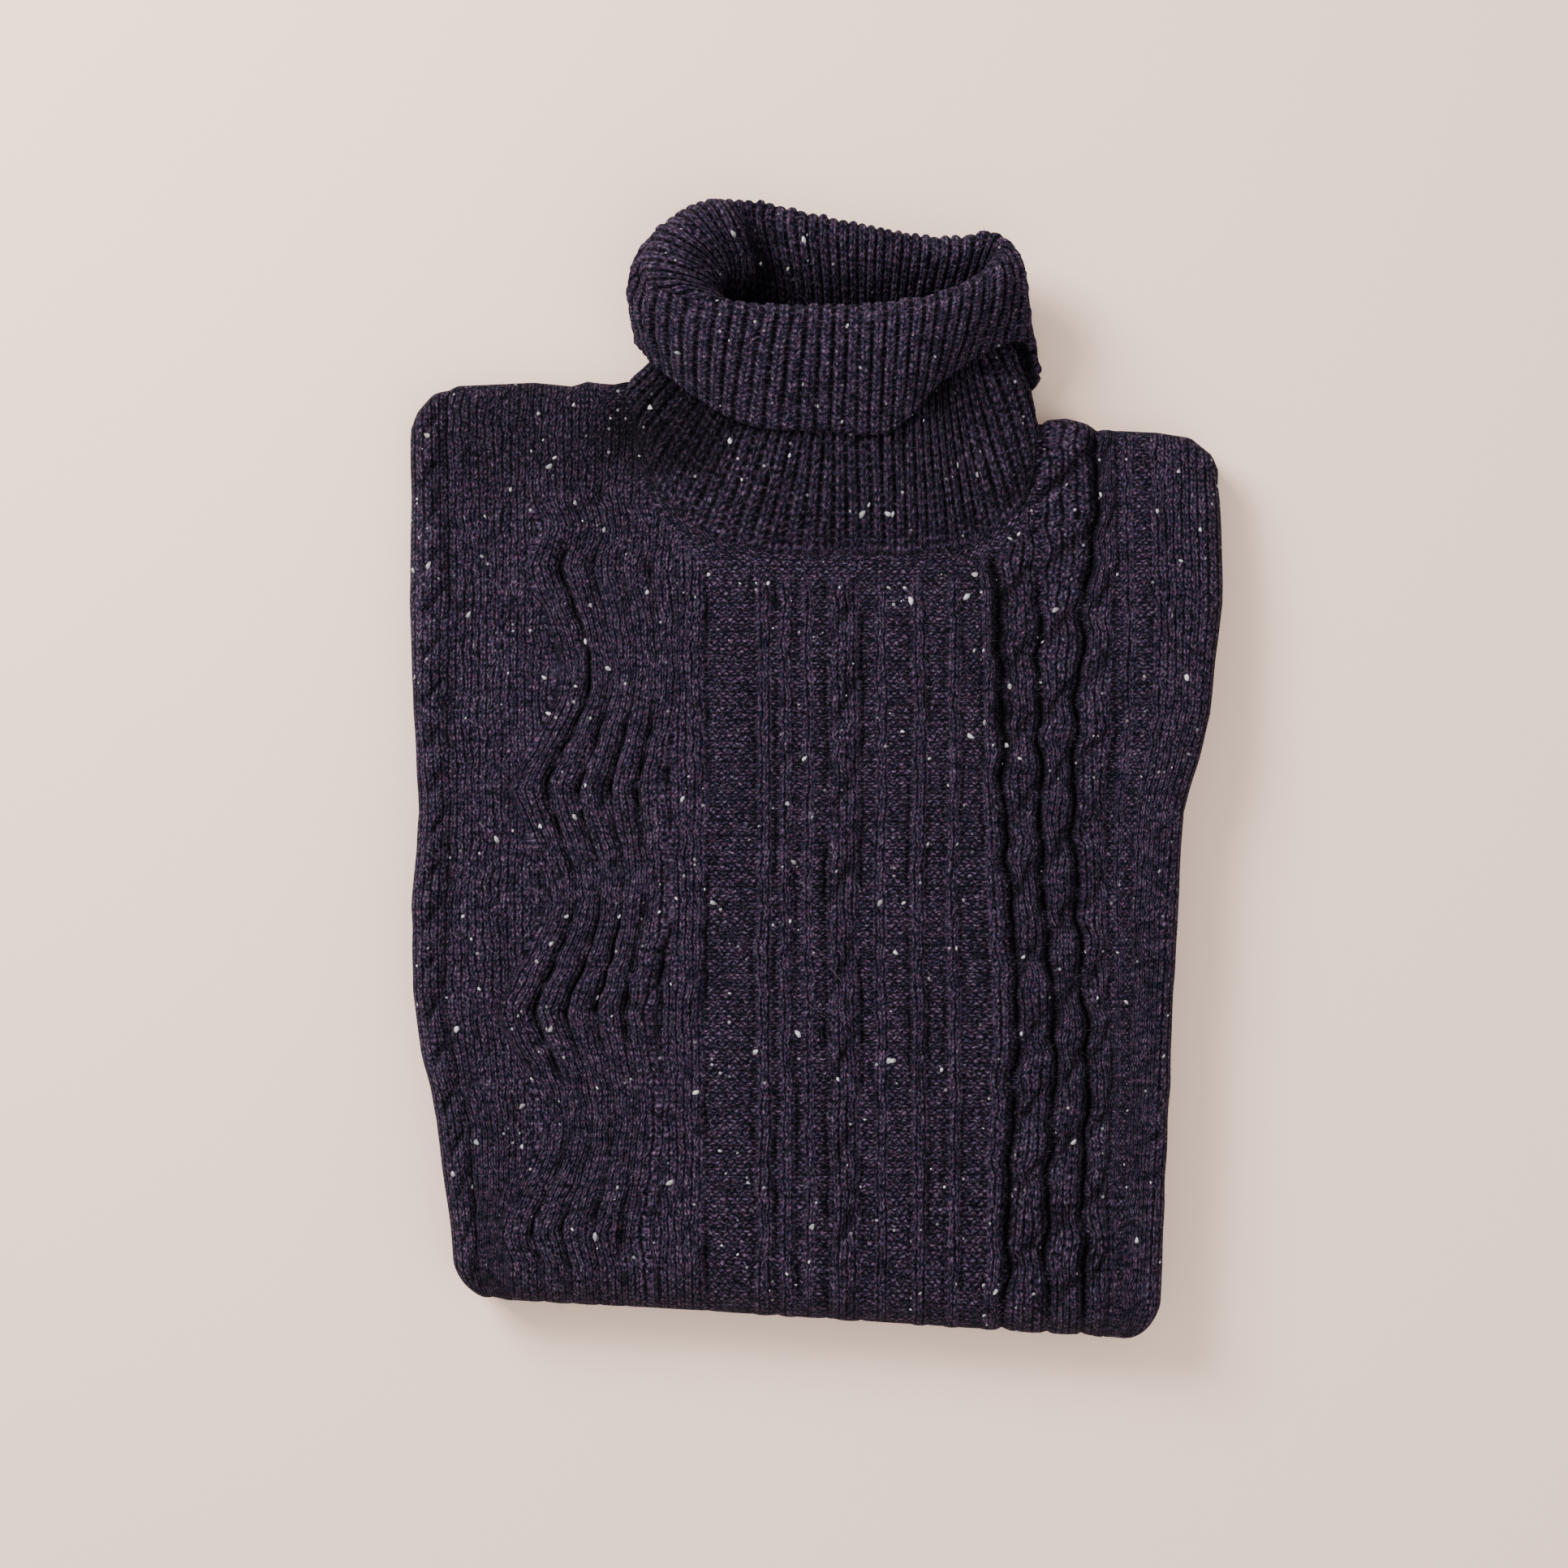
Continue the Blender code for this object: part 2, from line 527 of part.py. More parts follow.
def make_back():
    """The plain panel underneath, on the floor between the sleeves."""
    xs = np.array([-148.0, -128.0, -108.0, -88.0, -76.0, -40.0, 0.0, 40.0, 64.0, 74.0, 104.0, 122.0, 138.0])
    sides = 1.0 - smooth(xs, -88.0, -76.0) + smooth(xs, 64.0, 76.0)
    shoulder = 1.0 - in_neck(xs)
    left = np.array(LEFT_SHOULDER)
    right = np.array(RIGHT_SHOULDER)
    edge = np.where(xs < 0.0, np.interp(xs, left[:, 0], left[:, 1]), np.interp(xs, right[:, 0], right[:, 1]))
    start = edge * shoulder + (BACK_EDGE_Y - 2.0) * (1.0 - shoulder) - 1.0
    low = GAP + 5.4 * sides
    outer = []
    inner = []
    for angle in BACK_ANGLES:
        y = start - BACK_ROLL * shoulder * (1.0 - math.cos(angle))
        z = low + BACK_ROLL * shoulder * (1.0 - math.sin(angle))
        outer.append(np.stack([xs, y, z], axis=-1))
        y = y - CLOTH * shoulder * math.cos(angle)
        z = z + CLOTH * (shoulder * math.sin(angle) + 1.0 - shoulder)
        inner.append(np.stack([xs, y, z], axis=-1))
    for share in (0.3, 0.65, 1.0):
        y = start - BACK_ROLL * shoulder
        y = y + (BACK_END_Y - y) * share
        outer.append(np.stack([xs, y, low], axis=-1))
        inner.append(np.stack([xs, y, low + CLOTH], axis=-1))
    return cloth_wall("back", np.stack(inner), np.stack(outer), DARK_NAVY)


def inside_shape(y, x):
    """Top and underside of the hidden layers at y, between the turned sides."""
    top = body_size("top", y) - CABLED_CLOTH - SLACK
    sleeves = np.interp(-y, -column(OVER_SLEEVES, UNDER_COLUMNS, "y"), column(OVER_SLEEVES, UNDER_COLUMNS, "z"))
    middle = np.interp(-y, -column(OVER_BACK, UNDER_COLUMNS, "y"), column(OVER_BACK, UNDER_COLUMNS, "z"))
    between = smooth(x, -85.9, -72.1) * (1.0 - smooth(x, 64.1, 75.4))
    return top, sleeves + (middle - sleeves) * between


def make_folded_layers():
    """The hidden layers, as one thick sheet just inside the front that goes round the bottom fold."""
    turns = np.array([1.4, 0.8, 0.0])
    xs = np.array([-98.0, -86.0, -72.0, -30.0, 20.0, 64.0, 75.5, 97.0, 109.0])
    count = len(turns) + 2 + len(xs) + 2 + len(turns)
    lip_left = body_size("left", BOTTOM_Y) + BOTTOM_SIDE + LIP
    lip_right = body_size("right", BOTTOM_Y) - BOTTOM_SIDE - LIP
    rest_x = np.concatenate([[-181.0] * 3, [-161.0, -158.0], xs, [151.0, 156.0], [182.0] * 3])
    bottom_x = np.clip(rest_x, body_size("left", BOTTOM_Y), body_size("right", BOTTOM_Y))
    bottom_x[3:5] = lip_left + BESIDE_LIP[0], lip_left + BESIDE_LIP[1]
    bottom_x[-5:-3] = lip_right - BESIDE_LIP[1], lip_right - BESIDE_LIP[0]
    bottom = BOTTOM_Y - BOTTOM_SLOPE * bottom_x + FOLD_RADIUS
    shoulder = top_edge(rest_x) - INSIDE_SHOULDER
    in_hollow = (rest_x > -90.0) & (rest_x < 100.0)
    start = np.where(in_hollow, NECK_HOLLOW_Y, shoulder)
    angles = [0.0] * (len(LAYER_ROWS) + 2)
    angles += [math.pi * k / FOLD_STEPS for k in range(1, FOLD_STEPS + 1)]
    angles += [math.pi] * len(LOWER_SHARES)
    upper = []
    under = []
    for i, angle in enumerate(angles):
        if i == 0:
            y = start
        elif i <= len(LAYER_ROWS):
            y = np.minimum(LAYER_ROWS[i - 1], start - 4.0 - 2.0 * i)
        elif i < len(angles) - len(LOWER_SHARES):
            y = bottom
        else:
            y = bottom + (HEM_Y - bottom) * LOWER_SHARES[i - len(angles)]
        section = y if angle == 0.0 else np.full(count, BOTTOM_Y)
        full = (body_size("top", section) - body_size("low", section)) / 2.0
        corner = corner_inset(angle)
        left = body_size("left", y) + corner + full
        right = body_size("right", y) - corner - full
        top, floor = inside_shape(section, rest_x)
        lip = body_size("low", section) + CLOTH + 1.5 * SLACK
        width = full - CABLED_CLOTH - SLACK
        x = rest_x.copy()
        half = np.ones(count)
        for k, turn in enumerate(turns):
            x[k] = left[k] - width[k] * math.sin(turn)
            x[-1 - k] = right[-1 - k] + width[-1 - k] * math.sin(turn)
            half[k] = half[-1 - k] = math.cos(turn)
        x[3] = left[3] + LIP + BESIDE_LIP[0]
        x[4] = left[4] + LIP + BESIDE_LIP[1]
        x[-4] = right[-4] - LIP - BESIDE_LIP[0]
        x[-5] = right[-5] - LIP - BESIDE_LIP[1]
        beside = np.arange(count)
        beside = np.minimum(beside, count - 1 - beside) < 4
        floor = np.where(beside, np.maximum(lip, floor), floor)
        middle = (top + floor) / 2.0
        half = half * (top - floor) / 2.0
        if i == 0 or i == len(angles) - 1:
            half = half * END_THINNING
        for rows, side in ((upper, 1.0), (under, -1.0)):
            z = middle + side * half
            if angle == 0.0:
                rows.append(np.stack([x, y, z], axis=-1))
            else:
                distance = z - FOLD_RADIUS
                turned_y = y - distance * math.sin(angle)
                rows.append(np.stack([x, turned_y, FOLD_RADIUS + distance * math.cos(angle)], axis=-1))
    return cloth_wall("folded_layers", np.stack(upper), np.stack(under), DARK_NAVY)


def make_sleeve(name, x_range):
    """A flat folded sleeve: a rounded band that follows its path."""
    path = np.array(SLEEVE_PATH)
    tangent = unit(np.gradient(path, axis=0))
    normal = np.stack([-tangent[:, 1], tangent[:, 0]], axis=-1) * -1.0
    half = SLEEVE_THICK / 2.0
    angles = np.linspace(-math.pi / 2.0, math.pi / 2.0, 5)
    xs = np.concatenate([x_range[0] + half - half * np.cos(angles), x_range[1] - half + half * np.cos(angles)])
    offsets = np.concatenate([half * np.sin(angles), half * np.sin(angles[::-1])])
    rings = []
    for (y, z), (ny, nz) in zip(path, normal):
        rings.append(np.stack([xs, y + ny * offsets, z + nz * offsets], axis=-1))
    count = len(xs)
    points = (np.concatenate(rings) + PLACE) * MM
    faces = []
    for i in range(len(rings) - 1):
        for j in range(count):
            a = i * count + j
            b = i * count + (j + 1) % count
            faces.append((a, a + count, b + count, b))
    faces.append(tuple(range(count)))
    faces.append(tuple(range((len(rings) - 1) * count, len(rings) * count))[::-1])
    mesh = bpy.data.meshes.new(name)
    mesh.from_pydata(points.tolist(), [], faces)
    mesh.validate()
    return add_object(name, mesh, NAVY)


def main():
    for old in list(bpy.data.objects):
        bpy.data.objects.remove(old)
    bpy.context.scene.collection.children.link(bpy.data.collections.new("aran_turtleneck_sweater"))
    make_front()
    make_collar()
    make_back()
    make_sleeve("left_sleeve", LEFT_SLEEVE_X)
    make_sleeve("right_sleeve", RIGHT_SLEEVE_X)
    make_folded_layers()


main()
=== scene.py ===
import math

import bpy
import numpy as np
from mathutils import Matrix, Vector


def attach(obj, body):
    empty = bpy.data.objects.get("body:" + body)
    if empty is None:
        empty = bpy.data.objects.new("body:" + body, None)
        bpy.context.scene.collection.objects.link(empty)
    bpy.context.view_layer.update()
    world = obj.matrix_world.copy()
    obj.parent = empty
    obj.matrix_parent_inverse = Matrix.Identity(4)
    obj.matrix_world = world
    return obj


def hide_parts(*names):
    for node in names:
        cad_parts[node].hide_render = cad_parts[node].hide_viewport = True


# A dark tweed aran sweater, folded and lying on its back. Sizes are millimetres in its own frame,
# with +X to the right, +Y to the collar and z = 0 on the floor, and become metres in place().

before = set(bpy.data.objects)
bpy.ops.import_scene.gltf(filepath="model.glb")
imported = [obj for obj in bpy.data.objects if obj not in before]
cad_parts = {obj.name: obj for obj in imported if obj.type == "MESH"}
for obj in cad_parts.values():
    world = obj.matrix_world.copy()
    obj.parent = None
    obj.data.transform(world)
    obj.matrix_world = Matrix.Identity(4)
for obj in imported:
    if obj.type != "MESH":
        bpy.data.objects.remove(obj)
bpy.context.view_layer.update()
print("frame loaded")

middleOfOutline = np.array([-0.28, 1.42, 0.0])


def place(points):
    return (np.asarray(points, float) + middleOfOutline) / 1000.0


def smooth(value, start, end):
    share = np.clip((np.asarray(value, float) - start) / (end - start), 0.0, 1.0)
    return share * share * (3.0 - 2.0 * share)


def between(value, start, full, fading, gone):
    # 0 at start, 1 from full to fading and 0 again at gone
    return smooth(value, start, full) * (1.0 - smooth(value, fading, gone))


def bump(value, centre, width):
    return np.exp(-((np.asarray(value, float) - centre) / width) ** 2)


def unit(vectors):
    return vectors / np.maximum(np.linalg.norm(vectors, axis=-1, keepdims=True), 1e-9)


def gridNormals(points, closed=False):
    if closed:
        across = np.roll(points, -1, axis=1) - np.roll(points, 1, axis=1)
    else:
        across = np.gradient(points, axis=1)
    return unit(np.cross(np.gradient(points, axis=0), across))


def atY(rows, column, y):
    # one column of a table whose rows run down from the collar, with y first
    table = np.array(rows, float)
    return np.interp(-np.asarray(y, float), -table[:, 0], table[:, column])


def hermite(first, last, slopeFirst, slopeLast, width, t):
    # the place at share t of a smooth curve from first to last
    rest = 1.0 - t
    return ((1.0 + 2.0 * t) * rest * rest * first + t * rest * rest * width * slopeFirst
            + t * t * (3.0 - 2.0 * t) * last - t * t * rest * width * slopeLast)


def softNoise(x, y, size, seed):
    # smooth seeded unevenness, about -1 to 1
    total = 0.0
    for k in range(4):
        a = seed * 1.7 + k * 2.4
        turned = x * math.cos(a) + y * math.sin(a)
        aside = y * math.cos(a) - x * math.sin(a)
        total = total + np.sin(turned / size * 2.2 + a * 3.0 + 1.3 * np.sin(aside / size * 1.7 + a))
    return total / 2.6


def lumps(x, y, table):
    # a table of amount, size in mm and seed
    return sum(amount * softNoise(x, y, size, seed) for amount, size, seed in table)


# the folded body
body = {
    # y, left, right, top, low: outline and height at sections from the shoulder down
    "sections": (
        (172, -181, 180, 22, 7),
        (150, -181.5, 180, 24, 7.2),
        (120, -181.6, 181.5, 26, 7.8),
        (72, -181.4, 182.4, 29, 10.5),
        (23, -179.2, 175.8, 32, 19.5),
        (-21, -176.8, 164.3, 33.5, 19.5),
        (-63, -180, 161.2, 34, 19.5),
        (-100, -179.5, 160, 34, 19.5),
        (-128, -175.6, 158.6, 34, 19.5),
        (-158, -168.6, 157, 34, 19.5),
        (-206, -163, 154.8, 34, 19.5),
        (-250, -159, 153, 34, 19.5),
    ),
    # x, y along the shoulder edge
    "leftShoulder": (
        (-181.6, 150), (-178.5, 158.5), (-171, 166), (-160, 170.5), (-126, 172),
        (-109, 170.2), (-102, 172.5), (-90, 170.5), (-84, 171.5),
    ),
    "rightShoulder": (
        (99.5, 151), (104, 154.5), (112, 155.5), (122, 153), (129, 150.5), (153, 149.5),
        (168, 147), (178, 139), (182.5, 128),
    ),
    "cloth": 3.2,
    "foldRadius": 17.0,
    "bottomY": -245.0,
    "bottomSlope": 0.063,
    "bottomSide": 7.25,
    "cornerInset": 9.0,
    "hemY": 5.0,
    "lip": 6.0,
    "shoulderRoll": 7.0,
    "neckBetween": (-100.0, -86.0, 101.0, 112.0),  # x where the shoulder's roll ends on each side of the neck
    "furtherDown": 2.6,  # the bottom fold sags this much further out
}


def bodySize(name, y):
    return atY(body["sections"], ("left", "right", "top", "low").index(name) + 1, y)


# the collar's loops
collar = {
    # turn (share of the way round from the front, to the right), rim xyz, throat xyz, edge xyz, seam xyz, bulge
    "rows": (
        (0.00, 5, 200, 48, 9, 180, 34, 3, 149, 37.4, 11, 95, 29.5, 4),
        (0.08, 36.5, 202, 48, 40.5, 182, 34, 34, 149, 37.4, 45, 95, 29.5, 4),
        (0.15, 64, 209, 46.5, 58.5, 188.5, 33, 55.5, 170, 40.5, 70.5, 99.5, 29.4, 4),
        (0.21, 81.5, 222, 42.5, 68.5, 195.5, 28.5, 78, 185, 37, 93, 119, 28.4, 4),
        (0.25, 83.5, 230, 36.5, 75.5, 202, 22.5, 92.5, 189.5, 27, 97.5, 142, 26.9, 4),
        (0.28, 76.5, 234.5, 32, 70.5, 207, 17, 97.5, 179, 17, 88, 153.5, 22.8, 5.5),
        (0.31, 64, 233, 28.5, 60, 204, 13.5, 97.5, 170.5, 8.5, 77, 157.5, 17, 7),
        (0.49, 11, 241, 25.5, 13, 201, 9.6, 15, 170.5, 2.5, 13, 160.5, 5.8, 10),
        (0.63, -34.5, 249.5, 28, -25.5, 206, 11, -46, 175, 2.5, -45.5, 164, 5.8, 10),
        (0.70, -55, 246, 33, -36.5, 209, 15.5, -70.5, 182, 5.5, -75, 169.5, 11, 9),
        (0.76, -70.5, 232, 39, -40, 207.5, 21.5, -78, 189.5, 16.5, -80.5, 159.5, 25.8, 6),
        (0.82, -73.5, 214, 43, -38.5, 199, 28, -72, 179.5, 31.5, -75, 134.5, 27.6, 4),
        (0.88, -49.5, 204, 47, -28, 189, 32, -52, 163, 37, -56.5, 109.5, 28.9, 4),
        (0.94, -21.5, 200.5, 48, -9.5, 182, 34, -28.5, 151, 37.4, -25, 96.5, 29.5, 4),
    ),
    "loops": {"rim": 1, "throat": 4, "edge": 7, "seam": 10},
    "bulge": 13,
    "columns": 560,
    "ribs": 70,
    "neckRibs": 80,
    "rowsBetween": (24, 9, 5, 3, 7, 21),  # seam, throat, before the rim, rim, after it, shoulder, edge
    "rimRadius": 3.0,
    "overfoldShoulder": 0.27,
    "halfCloth": 1.25,
    "ribHeight": 2.1,
    "innerRibHeight": 1.5,
    "ribWidth": 6.3,
    "frontTurns": (0.19, 0.25),  # the neck leaves the front at this share of the way round, on each side
    "joinedTurns": (0.31, 0.36, 0.69, 0.74),  # behind, the seam is joined to the back
    "joinedSeam": (154.0, 3.9),  # y and z of the seam there
    "rollTurns": (0.63, 0.665, 0.85, 0.93),
    "rollRaised": (9.0, 5.0),  # how far the left roll arches up, and to the right
    "rollUnder": (7.0, 3.0),  # how far the knit under it is pushed left, and down
    "sunk": 5.0,  # behind the roll
    "neckSwell": (11.5, 7.0, 2.5),  # to the left, to the right and up on the right
    "edgeDown": 2.7,
    # shade under the roll, over the whole neck, under the right flap and in the pocket
    "shades": {"roll": 0.74, "neck": 0.34, "flap": 0.85, "pocket": 0.95},
}


def roundCurve(places, values, where):
    # a smooth closed curve through the values, read at each share of the way round
    spread = np.concatenate([places[-2:] - 1.0, places, places[:3] + 1.0])
    padded = np.concatenate([values[-2:], values, values[:3]])
    slopes = np.zeros_like(padded)
    before = (padded[1:-1] - padded[:-2]) / (spread[1:-1] - spread[:-2])
    after = (padded[2:] - padded[1:-1]) / (spread[2:] - spread[1:-1])
    slopes[1:-1] = (before + after) / 2.0
    k = np.clip(np.searchsorted(spread, where, side="right") - 1, 1, len(spread) - 3)
    width = spread[k + 1] - spread[k]
    return hermite(padded[k], padded[k + 1], slopes[k], slopes[k + 1], width, (where - spread[k]) / width)


def collarLoop(name, turns):
    rows = np.array(collar["rows"])
    first = collar["loops"][name]
    return np.stack([roundCurve(rows[:, 0], rows[:, first + k], turns) for k in range(3)], axis=-1)


def neckline(x):
    turns = np.linspace(-0.25, 0.24, 300)
    seam = collarLoop("seam", turns % 1.0)
    order = np.argsort(seam[:, 0])
    return np.interp(x, seam[order, 0], seam[order, 1] + 1.0, left=np.inf, right=np.inf)


def shoulderY(x):
    left = np.array(body["leftShoulder"])
    right = np.array(body["rightShoulder"])
    return np.where(x < 0.0, np.interp(x, left[:, 0], left[:, 1]), np.interp(x, right[:, 0], right[:, 1]))


def topEdge(x):
    return np.minimum(shoulderY(x), neckline(x))


# meshes
def weld(threshold):
    bpy.ops.object.mode_set(mode="EDIT")
    bpy.ops.mesh.select_all(action="SELECT")
    bpy.ops.mesh.remove_doubles(threshold=threshold)
    bpy.ops.object.mode_set(mode="OBJECT")


def cornerVertices(mesh):
    corner = np.zeros(len(mesh.loops), dtype=np.int32)
    mesh.loops.foreach_get("vertex_index", corner)
    return corner


def vertexPlaces(mesh):
    places = np.zeros(len(mesh.vertices) * 3)
    mesh.vertices.foreach_get("co", places)
    return places.reshape(-1, 3)


def fillMesh(piece, points, faces):
    mesh = piece.data
    mesh.clear_geometry()
    mesh.from_pydata(place(np.concatenate(points)).tolist(), [], faces)
    mesh.update()
    bpy.ops.object.shade_smooth()
    return piece


def gridPiece(name, points, uv, knit, paintedShade, closed=False, merged=False):
    # a grid primitive whose vertices are moved in code: rows run down, columns to the right
    if closed:
        points = np.concatenate([points, points[:, :1]], axis=1)
    rows, columns = points.shape[:2]
    bpy.ops.object.select_all(action="DESELECT")
    bpy.ops.mesh.primitive_grid_add(x_subdivisions=columns - 1, y_subdivisions=rows - 1, size=1.0)
    piece = bpy.context.active_object
    piece.name = name
    piece.data.name = name
    mesh = piece.data
    mesh.vertices.foreach_set("co", place(points[::-1]).reshape(-1))
    if not mesh.uv_layers:
        mesh.uv_layers.new(name="UVMap")
    mesh.uv_layers[0].name = "knitLay"
    mesh.uv_layers[0].uv.foreach_set("vector", uv[::-1].reshape(-1, 2)[cornerVertices(mesh)].reshape(-1))
    # the knit mask, and the painted shade that darkens the yarn's colour
    for key, values in (("knit", knit), ("paintedShade", paintedShade)):
        values = np.ascontiguousarray(values[::-1], dtype=np.float32)
        mesh.attributes.new(key, "FLOAT", "POINT").data.foreach_set("value", values.reshape(-1))
    if closed or merged:
        weld(0.00002)
    mesh.update()
    bpy.ops.object.shade_smooth()
    return piece


# front
front = {
    "leftLane": -131.0,  # the wave cable starts here
    "flatLeft": -172.0,
    "rightLane": 127.0,  # the last rope ends here
    "flatRight": 172.0,
    "sideTurn": 20.0,  # width of knit round each turned side
    "sideColumns": 15,
    "wavePeriod": 98.9,
    "kinkY": 89.0,
    "waveBetween": (-166.0, -49.0),  # rest x where the wave's swing ends on each side
    "driftBetween": (-166.0, -128.0, -66.0, -48.5),
    "waveFrom": (96.0, 122.0),  # y over which the wave begins
    # rest x of each groove of the wave, its swing to the right, then y and strength along it
    "waves": (
        (-130, 18, ((100, 0), (92, 0.25), (75, 0.15), (55, 0), (5, 0), (-8, 0.25), (-25, 0.1), (-40, 0))),
        (-113.4, 16, ((102, 0), (93, 0.6), (75, 0.9), (50, 0.65), (25, 0.85), (5, 1), (-15, 1), (-38, 0.55),
                        (-55, 0.15), (-75, 0.65), (-95, 1), (-115, 1), (-135, 0.55), (-155, 0.15), (-185, 0.4),
                        (-205, 0.8), (-225, 0.5), (-260, 0.3))),
        (-99, 12.5, ((100, 0), (92, 0.75), (80, 0.55), (60, 0.15), (25, 0.15), (5, 0.85), (-10, 1), (-25, 0.65),
                       (-50, 0.1), (-76, 0.55), (-95, 0.95), (-110, 0.95), (-125, 0.45), (-150, 0.1), (-190, 0.3),
                       (-207, 0.75), (-222, 0.35), (-250, 0.2))),
        (-85.7, 9, ((98, 0), (90, 0.65), (75, 0.4), (60, 0.1), (30, 0.1), (10, 0.85), (-8, 0.95), (-22, 0.45),
                      (-50, 0.1), (-74, 0.55), (-100, 0.95), (-112, 0.75), (-130, 0.2), (-160, 0.1), (-195, 0.35),
                      (-208, 0.75), (-222, 0.35), (-250, 0.2))),
        (-73, 6.5, ((98, 0), (90, 0.5), (72, 0.35), (60, 0.1), (28, 0.1), (8, 0.85), (-8, 0.95), (-20, 0.5),
                      (-50, 0.1), (-78, 0.55), (-100, 0.95), (-112, 0.75), (-130, 0.2), (-160, 0.1), (-200, 0.5),
                      (-210, 0.65), (-225, 0.25), (-250, 0.1))),
        (-61.5, 4, ((60, 0), (10, 0.1), (0, 0.45), (-10, 0.45), (-20, 0.1), (-70, 0.1), (-85, 0.55), (-105, 0.65),
                      (-120, 0.25), (-140, 0))),
    ),
    "drift": ((172.0, 2.0), (89.0, 0.0), (-10.0, -6.8), (-109.0, -12.2), (-208.0, -13.2), (-260.0, -13.2)),
    "waveDepth": 3.1,
    "waveWidth": 1.0,
    "waveShade": 1.15,  # half width of the dark line in each groove
    "cordHeight": 1.3,
    "cordAside": 5.8,  # from a groove to the cord on each side of it
    "cordWidth": 3.6,
    # rest x where the knit turns plain: left of the panel, a strip beside the last rope, and right of it
    "plainLeft": (-50.5, -47.5),
    "plainStrip": (136.0, 139.0, 141.0, 144.0),
    "plainRight": (149.0, 151.0),
    # rest x, half width and height of ribs that run straight down
    "ribs": (
        (-22.7, 2.6, 1.2), (-12.2, 2.6, 1.2), (45.4, 2.7, 1.25), (60.8, 2.7, 1.15), (79.2, 3.2, 1.2),
        (-3, 1.8, 0.25), (29, 1.8, 0.2),
    ),
    # rest x, width and depth of shallow grooves
    "grooves": (
        (-163.3, 1.5, 1.1), (-47.9, 1, 1.3), (-17.4, 0.9, 1.2), (-27, 0.9, 0.9), (-8, 0.9, 0.9),
        (4.6, 1, 1.3), (20.4, 1, 1.3), (41.2, 0.9, 0.9), (50, 0.9, 0.9), (56.6, 0.9, 0.9),
        (65, 0.9, 0.9), (74.4, 0.9, 0.8), (133.9, 0.9, 0.7), (-154, 0.7, 0.35), (-146.5, 0.7, 0.35),
        (-139, 0.7, 0.35), (150, 0.8, 0.35),
    ),
    # y and x of the three deep grooves
    "deep": (
        (152, 80, 99, 125.5),
        (110, 80, 99.5, 127),
        (84, 81, 99.7, 121.5),
        (30, 82.8, 99.7, 116.3),
        (-21, 83.9, 100.4, 114.8),
        (-72, 87.8, 102.8, 116.8),
        (-106, 89.6, 104.8, 118.6),
        (-140, 87.8, 106, 121),
        (-180, 86.2, 103.2, 119.5),
        (-236, 84.6, 103, 120.2),
    ),
    "deepRest": (85.0, 101.5, 118.5),
    # y, then how wide each deep groove stands open
    "deepOpen": (
        (172, 0.2, 0.2, 1.2), (128, 0.2, 0.2, 1.7), (112, 0.2, 0.2, 2), (96, 0.3, 0.2, 1.3),
        (84, 2, 0.5, 1.8), (66, 3, 1, 1.3), (46, 2.8, 0.8, 0.9), (26, 2.8, 1.2, 1.1),
        (6, 1.4, 1.2, 1.2), (-14, 0.8, 0.8, 1.5), (-34, 1.3, 1.2, 0.9), (-56, 1, 1.9, 1.3),
        (-78, 1.6, 1.3, 0.9), (-98, 0.8, 0.8, 1.5), (-120, 1.2, 1.3, 1), (-142, 1.8, 1, 1.7),
        (-164, 1, 1.5, 1), (-186, 1.5, 1.2, 1.2), (-208, 1.7, 1.6, 1.7), (-232, 1.1, 1, 1.1),
        (-262, 0.9, 0.8, 0.9),
    ),
    "deepDepth": (4.0, 3.4, 3.8),
    "deepWander": 0.85,
    "deepReach": (66.0, 85.0, 101.5, 118.5, 140.0),  # each groove carries the knit between its neighbours
    # rest x of each side, height, spacing of the strands and where they start
    "ropes": (
        (-175, -165, 2.2, 20, 3, 0.34),
        (5.8, 19.2, 2, 39, 9, 0.34),
        (86, 100.6, 1.9, 33, 0, 0.30),
        (102.5, 117.6, 1.9, 33, 14, 0.30),
        (119.5, 133, 1.8, 33, 26, 0.30),
    ),
    "ropeNotch": 1.3,
    "ropeShade": 0.65,
    # amount, size in mm and seed of how the columns stray, and of the knit's soft lumps
    "columnLumps": ((0.5, 5.0, 9.0), (0.45, 15.0, 4.0), (0.8, 62.0, 6.0)),
    "heightLumps": ((0.5, 34.0, 3.0), (0.22, 11.0, 8.0)),
    # amount, then x, width, y, height of the shade beside the neck
    "shades": ((0.68, -78.0, 24.0, 150.0, 24.0), (0.42, -135.0, 50.0, 148.0, 42.0)),
    "creaseShadeFrom": -1.8,  # creases as deep as this are shaded too
    # x, y, direction in degrees, length, width, height of soft creases
    "creases": (
        (101, 124, 46, 25, 4.2, 2.2),
        (97, 104, 45, 23, 1.7, -2.3),
        (110, 130, 48, 22, 1.8, -1.8),
        (126, 141, 96, 15, 4, -2),
        (-92, 128, 66, 30, 9, -1.7),
        (-120, 118, 80, 40, 12, 1.4),
        (-60, 74, 10, 34, 12, -0.9),
        (-152, 40, 86, 46, 9, -1.2),
        (-160, -64, 97, 30, 5, -1.5),
        (150, 96, 78, 40, 10, 1.6),
        (142, 30, 84, 60, 8, -1.4),
        (30, 60, 5, 60, 16, 0.8),
        (20, -60, 84, 70, 14, -0.8),
        (-30, -140, 92, 60, 13, 0.8),
        (-140, -120, 94, 50, 10, 1.1),
        (70, -150, 88, 55, 12, -0.9),
        (136, -110, 92, 60, 7, 1.1),
        (-10, -215, 3, 80, 12, 0.9),
    ),
    "columnStep": 1.75,
    "grooveStep": 0.6,
    "rowStep": 2.0,
}
# u is a column's rest x, before the cables and the folded outline carry it aside


